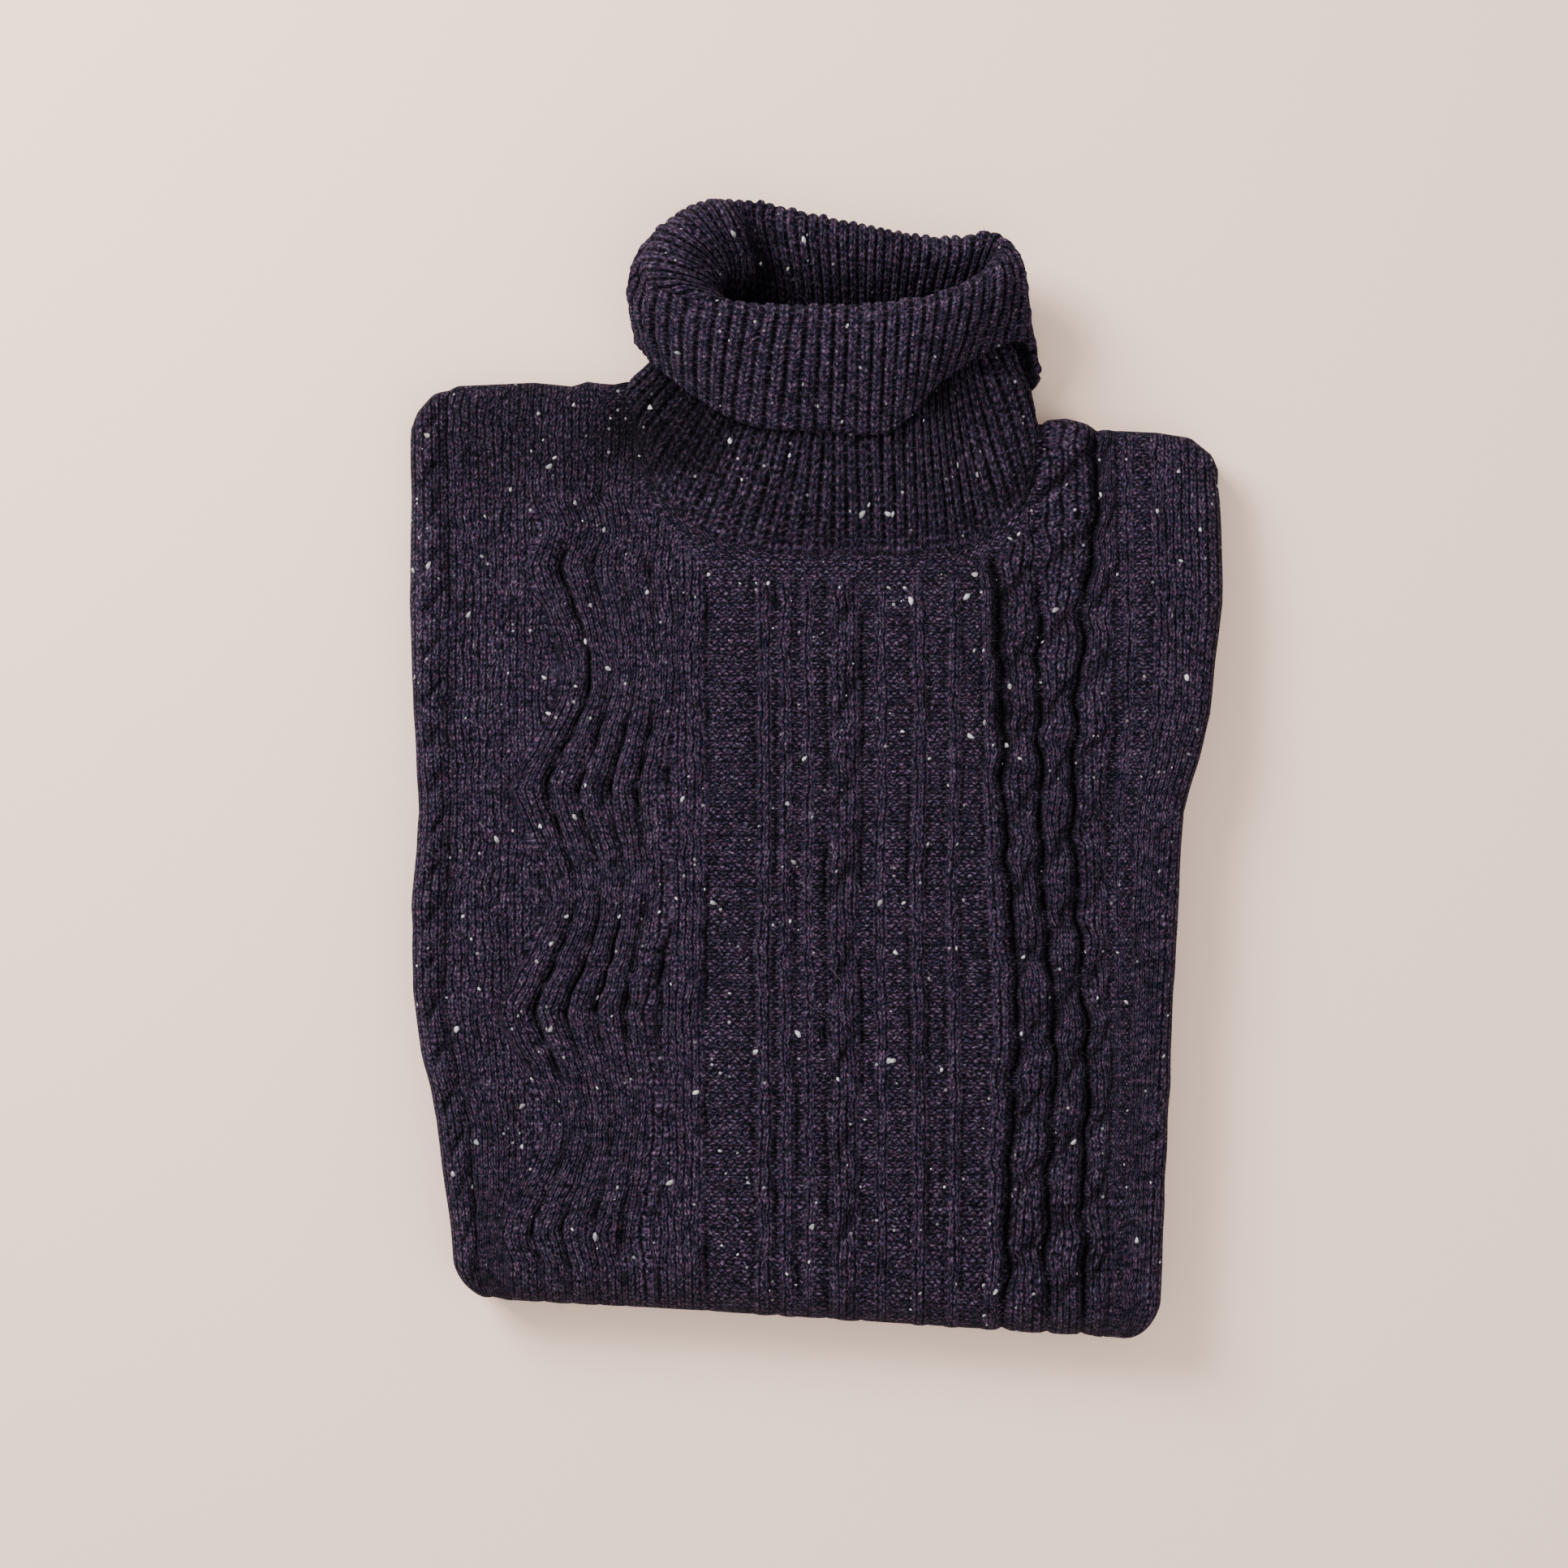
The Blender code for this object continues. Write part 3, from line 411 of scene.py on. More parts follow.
def swayFront(u, y):
    # how far the wave cable carries each column aside
    rests, swings = np.array([row[:2] for row in front["waves"]]).T
    phase = np.abs(np.sin(math.pi * (front["kinkY"] - y) / front["wavePeriod"])) ** 1.35
    low, high = front["waveBetween"]
    swing = np.interp(u, np.concatenate([[low], rests, [high]]), np.concatenate([[0.0], swings, [0.0]]))
    carried = np.interp(u, front["driftBetween"], (0.0, 1.0, 1.0, 0.0))
    return (1.0 - smooth(y, *front["waveFrom"])) * (swing * phase + carried * atY(front["drift"], 1, y))


def warpFront(u, y, flatLeft, flatRight):
    # where each column of the knit lies at y, from its rest x
    x = u + swayFront(u, y)
    for k, rest in enumerate(front["deepRest"]):
        low, middle, high = front["deepReach"][k:k + 3]
        shift = atY(front["deep"], k + 1, y) - rest
        wander = np.sin(2.0 * math.pi * y / 33.0 + 2.2 * k) + 0.5 * np.sin(2.0 * math.pi * y / 19.0 + k)
        x = x + between(u, low, middle, middle, high) * (shift + front["deepWander"] * wander)
    leftShare = np.clip((front["leftLane"] - u) / (front["leftLane"] - front["flatLeft"]), 0.0, 1.0)
    x = x + leftShare * (flatLeft - front["flatLeft"])
    rightShare = np.clip((u - front["rightLane"]) / (front["flatRight"] - front["rightLane"]), 0.0, 1.0)
    x = x + rightShare * (flatRight - front["flatRight"])
    inside = np.clip((front["flatRight"] - np.abs(u)) / 12.0, 0.0, 1.0)
    return x + inside * lumps(u, y, front["columnLumps"])


def reliefFront(u, x, y):
    # height of the knit over the cloth, how far it is plain knit (1) or purl (0), and painted shade in its grooves
    # and creases (1)
    height = np.zeros_like(x)
    paintedShade = np.zeros_like(x)
    knit = 1.0 - smooth(u, *front["plainLeft"])
    beside, wide = front["cordAside"], front["cordWidth"]
    for rest, _, along in front["waves"]:
        weight = atY(along, 1, y) * (1.0 + 0.2 * softNoise(u, y, 9.0, rest))
        weight = weight * np.clip(1.0 + 0.75 * softNoise(u, y, 5.5, rest + 3.0), 0.25, 1.5)
        height -= front["waveDepth"] * weight * np.exp(-np.abs((u - rest) / front["waveWidth"]) ** 1.8)
        paintedShade = np.maximum(paintedShade, np.minimum(1.0, 1.25 * weight) * bump(u, rest, front["waveShade"]))
        height += front["cordHeight"] * weight * (bump(u, rest - beside, wide) + bump(u, rest + beside, wide))
    for rest, half, tall in front["ribs"]:
        shape = np.clip(1.0 - ((u - rest) / (half * 1.25)) ** 2, 0.0, 1.0)
        height += tall * shape**0.8
        knit = np.maximum(knit, smooth(shape, 0.05, 0.4))
    for rest, width, deep in front["grooves"]:
        uneven = 0.75 + 0.6 * softNoise(u, y, 24.0, rest) + 0.35 * softNoise(u, y, 7.0, rest + 2.0)
        shape = deep * np.clip(uneven, 0.1, 1.5) * bump(u, rest, width)
        height -= shape
        paintedShade = np.maximum(paintedShade, 0.55 * shape)
    for low, high, tall, pitch, start, lean in front["ropes"]:
        across = (u - (low + high) / 2.0) / ((high - low) / 2.0)
        inside = np.clip(1.0 - across**2, 0.0, 1.0)
        strand = np.cos(2.0 * math.pi * ((y - start) / pitch - across * lean))
        crossing = inside**0.5 * np.exp(-((1.0 + strand) / 0.2) ** 2)
        height += tall * inside**0.55 * (0.72 + 0.28 * strand) - front["ropeNotch"] * crossing
        paintedShade = np.maximum(paintedShade, front["ropeShade"] * crossing)
        knit = np.maximum(knit, smooth(inside, 0.02, 0.3))
    for k, (rest, deep) in enumerate(zip(front["deepRest"], front["deepDepth"])):
        width = atY(front["deepOpen"], k + 1, y) * (1.0 + 0.3 * softNoise(u, y, 6.0, rest))
        strength = smooth(width, 0.15, 1.0) * np.clip(1.0 + 0.4 * softNoise(u, y, 7.0, rest + 5.0), 0.5, 1.0)
        aside = (u - rest) / (0.7 + 0.8 * np.maximum(width, 0.0))
        height -= deep * strength * np.exp(-np.abs(aside) ** 2.0)
        dark = np.minimum(1.0, 0.75 + 0.3 * width) * strength
        paintedShade = np.maximum(paintedShade, dark * np.exp(-((aside / 1.35) ** 2)))
    knit = np.maximum(knit, between(u, *front["plainStrip"]) + smooth(u, *front["plainRight"]))
    for midX, midY, angle, length, width, tall in front["creases"]:
        a = math.radians(angle)
        along = (x - midX) * math.cos(a) + (y - midY) * math.sin(a)
        aside = (y - midY) * math.cos(a) - (x - midX) * math.sin(a)
        shape = np.exp(-((along / length) ** 4) - (aside / width) ** 2)
        height += tall * shape
        if tall <= front["creaseShadeFrom"]:
            paintedShade = np.maximum(paintedShade, 0.5 * shape)
    height += lumps(x, y, front["heightLumps"])
    return height, knit, np.clip(paintedShade, 0.0, 1.0)


def frontLanes():
    # rest x of the columns, close together beside each groove
    marks = [row[0] for row in front["waves"] + front["grooves"]] + list(front["deepRest"])
    lanes = [front["flatLeft"] + 1.0]
    while lanes[-1] < front["flatRight"] - 1.8:
        near = min(abs(lanes[-1] + 0.4 - mark) for mark in marks)
        lanes.append(lanes[-1] + (front["grooveStep"] if near < 1.5 else front["columnStep"]))
    return np.array(lanes)


def makeFront():
    turnAngles = np.linspace(0.0, math.pi, front["sideColumns"])
    lipSteps = np.array([0.33, 0.66, 1.0])
    u = np.concatenate([
        front["flatLeft"] - front["sideTurn"] - body["lip"] * lipSteps[::-1],
        front["flatLeft"] - front["sideTurn"] * turnAngles[::-1] / math.pi,
        frontLanes(),
        front["flatRight"] + front["sideTurn"] * turnAngles / math.pi,
        front["flatRight"] + front["sideTurn"] + body["lip"] * lipSteps,
    ])
    columns = len(u)
    first = 3 + front["sideColumns"]
    turn = np.zeros(columns)
    turn[3:first] = turnAngles[::-1]
    turn[columns - first:columns - 3] = turnAngles
    turn[:3] = turn[-3:] = math.pi
    out = np.zeros(columns)  # how far in the lip lies
    out[:3] = body["lip"] * lipSteps[::-1]
    out[-3:] = body["lip"] * lipSteps
    aside = np.where(np.arange(columns) < columns // 2, -1.0, 1.0)
    flat = np.clip(u, front["flatLeft"], front["flatRight"])

    def turnedX(y, full, corner):
        left = bodySize("left", y) + corner + full
        right = bodySize("right", y) - corner - full
        return warpFront(flat, y, left, right) + aside * (full * np.sin(turn) - out)

    start = topEdge(np.clip(u, -181.0, 182.0))
    for _ in range(16):
        startX = turnedX(start, (bodySize("top", start) - bodySize("low", start)) / 2.0, 0.0)
        start = 0.6 * start + 0.4 * topEdge(startX)
    rolled = 1.0 - between(startX, *body["neckBetween"])
    bottomX = turnedX(np.full(columns, body["bottomY"]), body["bottomSide"], 0.0)
    bottom = body["bottomY"] - body["bottomSlope"] * bottomX + body["foldRadius"]

    # rows: round the shoulder edge, down the top at level heights, round the bottom fold and back underneath
    roll = body["shoulderRoll"]
    plan = [("edge", a) for a in np.linspace(0.0, math.pi / 2.0, 8)[:-1]]
    plan += [("level", y) for y in np.arange(165.0, -190.0, -front["rowStep"])]
    plan += [("share", k / 20.0) for k in range(1, 21)]
    plan += [("fold", a) for a in np.linspace(0.0, math.pi, 20)[1:]]
    plan += [("under", s) for s in np.concatenate([np.linspace(0.0, 0.97, 30)[1:], [0.985, 1.0]])]
    lastLevel = plan[[kind for kind, _ in plan].index("share") - 1][1]
    shape = (len(plan), columns)
    points = np.zeros(shape + (3,))
    relief, knit, paintedShade = np.zeros(shape), np.zeros(shape), np.zeros(shape)
    straight = np.zeros(shape)  # beside the wave the plain knit runs straight down
    for i, (kind, value) in enumerate(plan):
        angle = 0.0
        edge = math.pi / 2.0
        if kind == "edge":
            edge = value
            y = start - roll * (1.0 - math.cos(edge))
        elif kind == "level":
            y = np.minimum(value, start - roll)
        elif kind == "share":
            y = lastLevel + (bottom - lastLevel) * value
        else:
            y = bottom + (body["hemY"] - bottom) * (value if kind == "under" else 0.0)
            angle = value if kind == "fold" else math.pi
        section = y if angle == 0.0 else np.full(columns, body["bottomY"])
        height = bodySize("top", section)
        full = (height - bodySize("low", section)) / 2.0
        x = turnedX(y, full, body["cornerInset"] * (1.0 - abs(math.cos(angle))))
        depth = full * (1.0 - np.cos(turn))
        if angle == 0.0:
            drop = roll * (1.0 - math.sin(edge)) * rolled * np.clip(1.0 - depth / roll, 0.0, 1.0)
            points[i] = np.stack([x, y, height - depth - drop], axis=-1)
        else:
            distance = body["foldRadius"] - depth
            further = body["furtherDown"] * math.sin(angle) ** 2
            points[i] = np.stack([x, y - distance * math.sin(angle) - further,
                                  body["foldRadius"] + distance * math.cos(angle)], axis=-1)
        straight[i] = swayFront(u, y) * (1.0 - smooth(u, -130.5, -127.0) + smooth(u, -63.0, -60.5))
        raised, plain, deep = reliefFront(u, x, y - body["foldRadius"] * angle)
        # the relief lies flat underneath, round the sides and at the shoulder, and rises slowly below the neck
        fade = 1.0 - smooth(angle, 0.55 * math.pi, 0.85 * math.pi)
        fade = fade * (1.0 - smooth(turn, 0.5 * math.pi, 0.9 * math.pi))
        if angle == 0.0:
            atShoulder = 0.25 + 0.75 * smooth(start - y, 0.0, 7.0)
            atNeck = smooth(start - y, 3.0, 24.0)
            fade = fade * (atNeck + (atShoulder - atNeck) * rolled)
            plain = plain * (rolled + (1.0 - rolled) * smooth(start - y, 9.0, 20.0))
        # painted shade beside the neck, added to the painted shade in the grooves
        shaded = sum(dark * bump(x, sx, wide) * bump(y, sy, tall) for dark, sx, wide, sy, tall in front["shades"])
        fade = fade * (1.0 - 0.7 * smooth(angle, 0.02 * math.pi, 0.4 * math.pi))
        relief[i], knit[i], paintedShade[i] = raised * fade, plain, np.maximum(deep * fade, shaded)
    normals = gridNormals(points)
    for i in range(len(plan) - 2, -1, -1):
        # rows that lie on each other at the neckline share one normal
        same = np.linalg.norm(points[i] - points[i + 1], axis=-1) < 1e-6
        normals[i][same] = normals[i + 1][same]
    points = points + normals * relief[..., None]
    # free edges turn inwards, so that each is as thick as the knit
    cloth = body["cloth"]
    steps = np.linalg.norm(np.diff(points, axis=0), axis=-1)[:, columns // 4]
    along = np.concatenate([[0.0], np.cumsum(steps)])
    uv = np.stack([u + straight, np.broadcast_to(-along[:, None], shape)], axis=-1)
    def turnedIn(row, steps):
        return np.stack([points[row] - normals[row] * cloth * share + (0.0, -d, 0.0) for share, d in steps])

    atStart = turnedIn(0, ((1.0, 3.0), (1.0, 0.6), (0.5, -0.3)))
    atHem = turnedIn(-1, ((0.5, -0.3), (1.0, 0.6), (1.0, 6.0)))
    points = np.concatenate([atStart, points, atHem])
    points[..., 2] = np.maximum(points[..., 2], 0.0)
    uv = np.concatenate([uv[:1] + (0.0, d) for d in (6.0, 4.0, 2.0)] + [uv]
                        + [uv[-1:] - (0.0, d) for d in (2.0, 4.0, 9.0)])
    knit, paintedShade = (np.concatenate([values[:1]] * 3 + [values] + [values[-1:]] * 3) for values in (knit, paintedShade))
    piece = gridPiece("frontPanel", points, uv / 1000.0, knit, paintedShade, merged=True)
    return piece, points, gridNormals(points), knit


# collar
def collarSurface(turns, rowCounts):
    seam = collarLoop("seam", turns)
    throat = collarLoop("throat", turns)
    rim = collarLoop("rim", turns)
    edge = collarLoop("edge", turns)
    table = np.array(collar["rows"])
    swell = roundCurve(table[:, 0], table[:, collar["bulge"]], turns)
    along = np.roll(rim + edge, -1, axis=0) - np.roll(rim + edge, 1, axis=0)
    outward = -unit(np.cross(along, edge - rim))
    shoulder = rim + (edge - rim) * collar["overfoldShoulder"] + outward * swell[:, None]
    up = unit(rim - (throat + edge) / 2.0)
    across = unit(np.cross(along, np.cross(up, along)))
    aside = unit(np.cross(along, across))
    aside *= np.sign(np.sum(aside * outward, axis=-1, keepdims=True))
    radius = collar["rimRadius"]
    knots = np.stack([seam, throat, rim - (up + aside) * radius, rim, rim - (up - aside) * radius, shoulder, edge])
    steps = np.maximum(np.linalg.norm(np.diff(knots, axis=0), axis=-1), 1e-6) ** 0.5
    slopes = np.zeros_like(knots)
    for k in range(1, len(knots) - 1):
        before = (knots[k] - knots[k - 1]) / steps[k - 1][:, None]
        after = (knots[k + 1] - knots[k]) / steps[k][:, None]
        whole = (knots[k + 1] - knots[k - 1]) / (steps[k] + steps[k - 1])[:, None]
        slopes[k] = before + after - whole
    slopes[0] = 1.5 * (knots[1] - knots[0]) / steps[0][:, None] - 0.5 * slopes[1]
    slopes[-1] = 1.5 * (knots[-1] - knots[-2]) / steps[-1][:, None] - 0.5 * slopes[-2]
    rows = []
    for k, count in enumerate(rowCounts):
        for n in range(count):
            rows.append(hermite(knots[k], knots[k + 1], slopes[k], slopes[k + 1], steps[k][:, None], n / count))
    rows.append(knots[-1])
    return np.stack(rows)


def makeCollar():
    count = collar["columns"]
    turns = np.arange(count) / count
    rowCounts = collar["rowsBetween"]
    middle = collarSurface(turns, rowCounts)
    rows = len(middle)
    rowIndex = np.arange(rows)[:, None]
    # the neck lies down on the front at its seam
    atFront = 1.0 - smooth(np.minimum(turns, 1.0 - turns), *collar["frontTurns"])
    above = middle[0, :, 2] - bodySize("top", middle[0, :, 1]) + 0.2
    middle[..., 2] -= (1.0 - smooth(rowIndex, 0.0, 4.0)) * (above * atFront)[None, :]
    legRows = rowCounts[0]
    rimRow = sum(rowCounts[:3])
    lastRow = rows - 1.0
    # behind, it is joined to the top of the back
    joined = between(turns, *collar["joinedTurns"]) * (1.0 - smooth(rowIndex, 0.0, 6.0))
    middle[..., 1] += joined * (collar["joinedSeam"][0] - middle[0, :, 1])
    middle[..., 2] += joined * (collar["joinedSeam"][1] - middle[0, :, 2])
    # the left side is a thick roll over a dark pocket
    roll = between(turns, *collar["rollTurns"])
    share = np.clip((rowIndex - legRows) / (rimRow - legRows), 0.0, 1.0)
    arched = roll * np.sin(math.pi * share**0.8)
    middle[..., 2] += collar["rollRaised"][0] * arched
    middle[..., 0] += collar["rollRaised"][1] * arched
    under = roll * bump(rowIndex, legRows - 1.0, 3.5)
    middle[..., 0] -= collar["rollUnder"][0] * under
    middle[..., 2] -= collar["rollUnder"][1] * under
    middle[..., 2] -= collar["sunk"] * bump(turns, 0.61, 0.035) * np.sin(math.pi * share)
    # the neck swells out beside the overfold
    leg = np.sin(math.pi * np.clip(rowIndex / legRows, 0.0, 1.0))
    swellLeft, swellRight, swellUp = collar["neckSwell"]
    middle[..., 0] -= swellLeft * between(rowIndex, 0.0, 4.0, 11.0, legRows) * bump(turns, 0.765, 0.05)
    middle[..., 0] += swellRight * leg * bump(turns, 0.235, 0.035)
    middle[..., 2] += swellUp * leg * bump(turns, 0.24, 0.03)
    # the free edge lies down on the neck
    atEdge = atFront * smooth(rowIndex, lastRow - 14.0, lastRow)
    middle[..., 2] -= collar["edgeDown"] * atEdge
    normals = -gridNormals(middle, closed=True)
    normals = unit(sum(np.roll(normals, shift, axis=1) for shift in range(-8, 9)))

    def ribsRound(number):
        # the ribs' height, their own unevenness, and the painted shade in each valley
        phase = turns * number
        rib = np.floor(phase + 0.5)
        stray = 0.05 * np.sin(rowIndex * 0.55 + rib * 2.7) + 0.035 * np.sin(rowIndex * 1.3 + rib * 4.1)
        ridge = np.clip(1.2 * np.abs(np.cos(math.pi * (phase + stray))), 0.0, 1.0) ** 0.85
        uneven = 1.0 + 0.2 * np.sin(rib * 2.3) + 0.12 * np.sin(rib * 5.1 + 1.0)
        waver = 1.0 + 0.16 * np.sin(rowIndex * 0.9 + rib * 1.9) + 0.08 * np.sin(rowIndex * 2.1 + rib)
        dark = np.clip(0.8 + 0.35 * np.sin(rib * 3.7 + rowIndex * 0.35) + 0.2 * np.sin(rib * 1.7), 0.3, 1.15)
        return ridge, uneven * waver, np.minimum(1.0, 1.05 * (1.0 - ridge) ** 1.1 * dark)

    ridge, uneven, valleyShade = ribsRound(collar["ribs"])
    neckRidge, neckUneven, neckValleyShade = ribsRound(collar["neckRibs"])
    seamFade = smooth(rowIndex, 0.3, 3.3)
    neckHeight = collar["ribHeight"] * neckRidge * neckUneven
    outsideRibs = collar["ribHeight"] * ridge * uneven
    insideRibs = collar["innerRibHeight"] * ridge * uneven
    atLeft = bump(turns, 0.86, 0.07)
    outside = neckHeight * (1.0 - smooth(rowIndex, legRows - 2, legRows + 6)) * seamFade * (1.0 - 0.55 * atLeft)
    inside = (insideRibs + (outsideRibs - insideRibs) * smooth(rowIndex, rimRow - 5, rimRow)) * seamFade
    inside *= (1.0 - (0.3 + 0.15 * atFront) * bump(rowIndex, rimRow, 4.0)) * (1.0 - 0.6 * atEdge)
    floorFade = smooth(middle[..., 2], 2.5, 8.0)
    half = collar["halfCloth"] * (0.3 + 0.7 * smooth(rowIndex, 0.0, 3.0)) * (1.0 - 0.5 * atEdge)
    fold = between(turns, 0.19, 0.235, 0.30, 0.34) * (rowIndex <= legRows)
    sideA = middle + normals * (half + outside * floorFade)[..., None]
    sideB = middle - normals * (half + inside * floorFade - 0.9 * fold)[..., None]
    # one loop of rows: down the neck's inside, over the rim to the free edge, and back along the other face
    edgeTurn = (sideA[-1] + sideB[-1]) / 2.0 + unit(middle[-1] - middle[-2]) * (1.3 - 0.6 * atFront[:, None])
    seamTurn = (sideA[0] + sideB[0]) / 2.0 + unit(middle[0] - middle[1]) * 0.8
    hold = sideA[0] + unit(sideA[0] - sideA[1]) * 0.25
    grid = np.concatenate([seamTurn[None], sideB, edgeTurn[None], sideA[::-1], hold[None], seamTurn[None]])
    grid[..., 2] = np.maximum(grid[..., 2], 0.3)
    steps = np.linalg.norm(np.diff(grid, axis=0), axis=-1).mean(axis=1)
    along = np.concatenate([[0.0], np.cumsum(steps)])
    ribsOf = np.where(np.arange(len(grid)) > rows + 1, collar["neckRibs"], collar["ribs"])[:, None]
    across = (np.arange(count + 1)[None, :] / count * ribsOf + 0.5) * collar["ribWidth"]
    uv = np.stack(np.broadcast_arrays(across, -along[:, None]), axis=-1)
    # painted shade in the valleys, in the pocket inside the neck, under the roll, over the neck and under the right
    # flap
    shades = collar["shades"]
    pocketEnd = legRows + 1.5 + 6.0 * between(turns, 0.27, 0.36, 0.6, 0.66) + 8.0 * bump(turns, 0.618, 0.035)
    pocket = shades["pocket"] * (1.0 - smooth(rowIndex, legRows - 1.0, pocketEnd))
    onNeck = 1.0 - smooth(rowIndex, legRows - 6.0, legRows)
    shaded = shades["roll"] * between(turns, 0.74, 0.79, 0.865, 0.925) * onNeck * smooth(middle[..., 1], 118.0, 136.0)
    shaded = np.maximum(shaded, shades["neck"] * onNeck)
    shaded = np.maximum(shaded, shades["flap"] * bump(turns, 0.128, 0.034) * bump(rowIndex, 16.5, 4.0))
    outer = 1.0 - (1.0 - neckValleyShade * seamFade) * (1.0 - shaded)

    def bothFaces(inner, outer):
        # the rows of the loop, and the first column again at its end
        loop = np.concatenate([inner[:1], inner, inner[-1:], outer[::-1], outer[:1], outer[:1]])
        return np.concatenate([loop, loop[:, :1]], axis=1)

    paintedShade = bothFaces(np.maximum(valleyShade * seamFade, pocket), outer)
    knit = bothFaces(smooth(ridge, 0.3, 0.65), smooth(neckRidge, 0.3, 0.65))
    piece = gridPiece("collarRib", grid, uv / 1000.0, knit, paintedShade, closed=True)
    return piece, grid, gridNormals(grid, closed=True)


frontPanel, frontPoints, frontNormals, frontKnit = makeFront()
print("front:", len(frontPanel.data.polygons), "faces")
collarRib, collarPoints, collarNormals = makeCollar()
print("collar:", len(collarRib.data.polygons), "faces")


# back, sleeves and hidden layers
back = {
    "edges": (-148.0, 138.0),
    "betweenSleeves": (-88.0, -76.0, 64.0, 76.0),  # x between the two sleeves
    "overSleeves": 5.4,  # how much higher the back lies on them
    "neckY": 155.0,
    "endY": 51.0,
    "roll": 7.5,
    "cloth": 3.0,
}


def makeBack():
    xs = np.arange(back["edges"][0], back["edges"][1] + 0.1, 2.6)
    onSleeves = 1.0 - between(xs, *back["betweenSleeves"])
    neck = between(xs, *body["neckBetween"])
    start = shoulderY(xs) * (1.0 - neck) + back["neckY"] * neck - 1.0
    low = 0.3 + back["overSleeves"] * onSleeves
    roll = back["roll"] * (1.0 - neck)
    upper = []
    lower = []
    for angle in np.linspace(0.0, math.pi / 2.0, 8):
        y = start - roll * (1.0 - math.cos(angle))
        z = low + roll * (1.0 - math.sin(angle))
        lower.append(np.stack([xs, y, z], axis=-1))
        y = y - back["cloth"] * (1.0 - neck) * math.cos(angle)
        z = z + back["cloth"] * ((1.0 - neck) * math.sin(angle) + neck)
        upper.append(np.stack([xs, y, z], axis=-1))
    for share in np.linspace(0.0, 1.0, 40)[1:]:
        y = start - roll + (back["endY"] - start + roll) * share
        uneven = 0.25 * (1.0 + softNoise(xs, y, 30.0, 5.0)) * smooth(share, 0.0, 0.1)
        lower.append(np.stack([xs, y, low + uneven * 0.6], axis=-1))
        upper.append(np.stack([xs, y, low + back["cloth"] - 0.2 + 0.0 * y], axis=-1))
    grid = np.concatenate([np.stack(lower), np.stack(upper)[::-1]])[::-1]
    grid = np.concatenate([grid, grid[:1]])
    # the side edges close between the two faces
    middle = (grid + grid[::-1]) / 2.0
    grid[:, 0] = middle[:, 0]
    grid[:, -1] = middle[:, -1]
    along = np.cumsum(np.linalg.norm(np.diff(grid, axis=0, prepend=grid[:1]), axis=-1).mean(axis=1))
    uv = np.stack(np.broadcast_arrays(xs[None, :], along[:, None]), axis=-1)
    plain = np.ones(uv.shape[:2])
    return gridPiece("backPanel", grid, uv / 1000.0, plain, plain * 0.0, merged=True)


sleeves = {
    # y and z along the middle of each sleeve, up over the folded front
    "path": ((146.0, 2.4), (50.0, 2.4), (40.0, 4.2), (15.0, 15.2), (6.0, 17.0), (-6.0, 17.0), (-128.0, 17.0)),
    "thick": 4.2,
    "flatColumns": 34,
    "left": (-173.0, -86.0),  # x of its two sides
    "right": (76.0, 155.0),
}


def makeSleeve(name, ends):
    path = np.array(sleeves["path"])
    lengths = np.concatenate([[0.0], np.cumsum(np.linalg.norm(np.diff(path, axis=0), axis=1))])
    fine = np.linspace(0.0, lengths[-1], 120)
    y = np.interp(fine, lengths, path[:, 0])
    z = np.interp(fine, lengths, path[:, 1])
    half = sleeves["thick"] / 2.0
    angles = np.linspace(-math.pi / 2.0, math.pi / 2.0, 7)[1:-1]
    flat = np.linspace(ends[0] + half, ends[1] - half, sleeves["flatColumns"])
    bulge = half * np.cos(angles)
    level = np.ones(len(flat))
    x = np.concatenate([flat, ends[1] - half + bulge, flat[::-1], ends[0] + half - bulge])
    up = np.concatenate([-level, np.sin(angles), level, np.sin(angles)[::-1]]) * half
    side = np.concatenate([level, bulge * 0.0, level, bulge * 0.0])
    slope = np.gradient(np.stack([y, z], axis=-1), axis=0)
    slope = slope / np.linalg.norm(slope, axis=1, keepdims=True)
    rings = []
    for k in range(len(fine)):
        end = min(k, len(fine) - 1 - k)
        close = (0.0, 0.55, 0.85)[end] if end < 3 else 1.0
        offset = up * close * (1.0 - 0.05 * side * (1.0 + softNoise(x, y[k] + 0.0 * x, 24.0, 2.0)))
        rings.append(np.stack([x, y[k] + slope[k, 1] * offset, z[k] - slope[k, 0] * offset], axis=-1))
    grid = np.stack(rings)[:, ::-1]
    grid[..., 2] = np.maximum(grid[..., 2], 0.15)
    columns = grid.shape[1]
    across = np.arange(columns + 1) * 2.4
    uv = np.stack(np.broadcast_arrays(across[None, :], -fine[:, None]), axis=-1)
    plain = np.ones(uv.shape[:2])
    return gridPiece(name, grid, uv / 1000.0, plain, plain * 0.0, closed=True)


def makeLayers():
    # a copy of the CAD solid, with its doubles merged, shaded smooth and given the knit's lay
    bpy.ops.object.select_all(action="DESELECT")
    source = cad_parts["folded_layers"]
    piece = source.copy()
    piece.data = source.data.copy()
    piece.name = "foldedLayers"
    piece.data.name = "foldedLayers"
    bpy.context.scene.collection.objects.link(piece)
    piece.parent = None
    bpy.context.view_layer.objects.active = piece
    piece.select_set(True)
    weld(0.00001)
    bpy.ops.object.shade_smooth_by_angle(angle=0.7)
    mesh = piece.data
    while mesh.uv_layers:
        mesh.uv_layers.remove(mesh.uv_layers[0])
    lay = mesh.uv_layers.new(name="knitLay")
    lay.uv.foreach_set("vector", vertexPlaces(mesh)[cornerVertices(mesh)][:, :2].reshape(-1))
    mesh.attributes.new("knit", "FLOAT", "POINT").data.foreach_set("value", np.ones(len(mesh.vertices)))
    return piece


backPanel = makeBack()
leftSleeve = makeSleeve("leftSleeve", sleeves["left"])
rightSleeve = makeSleeve("rightSleeve", sleeves["right"])
foldedLayers = makeLayers()
print("back, sleeves and layers made")


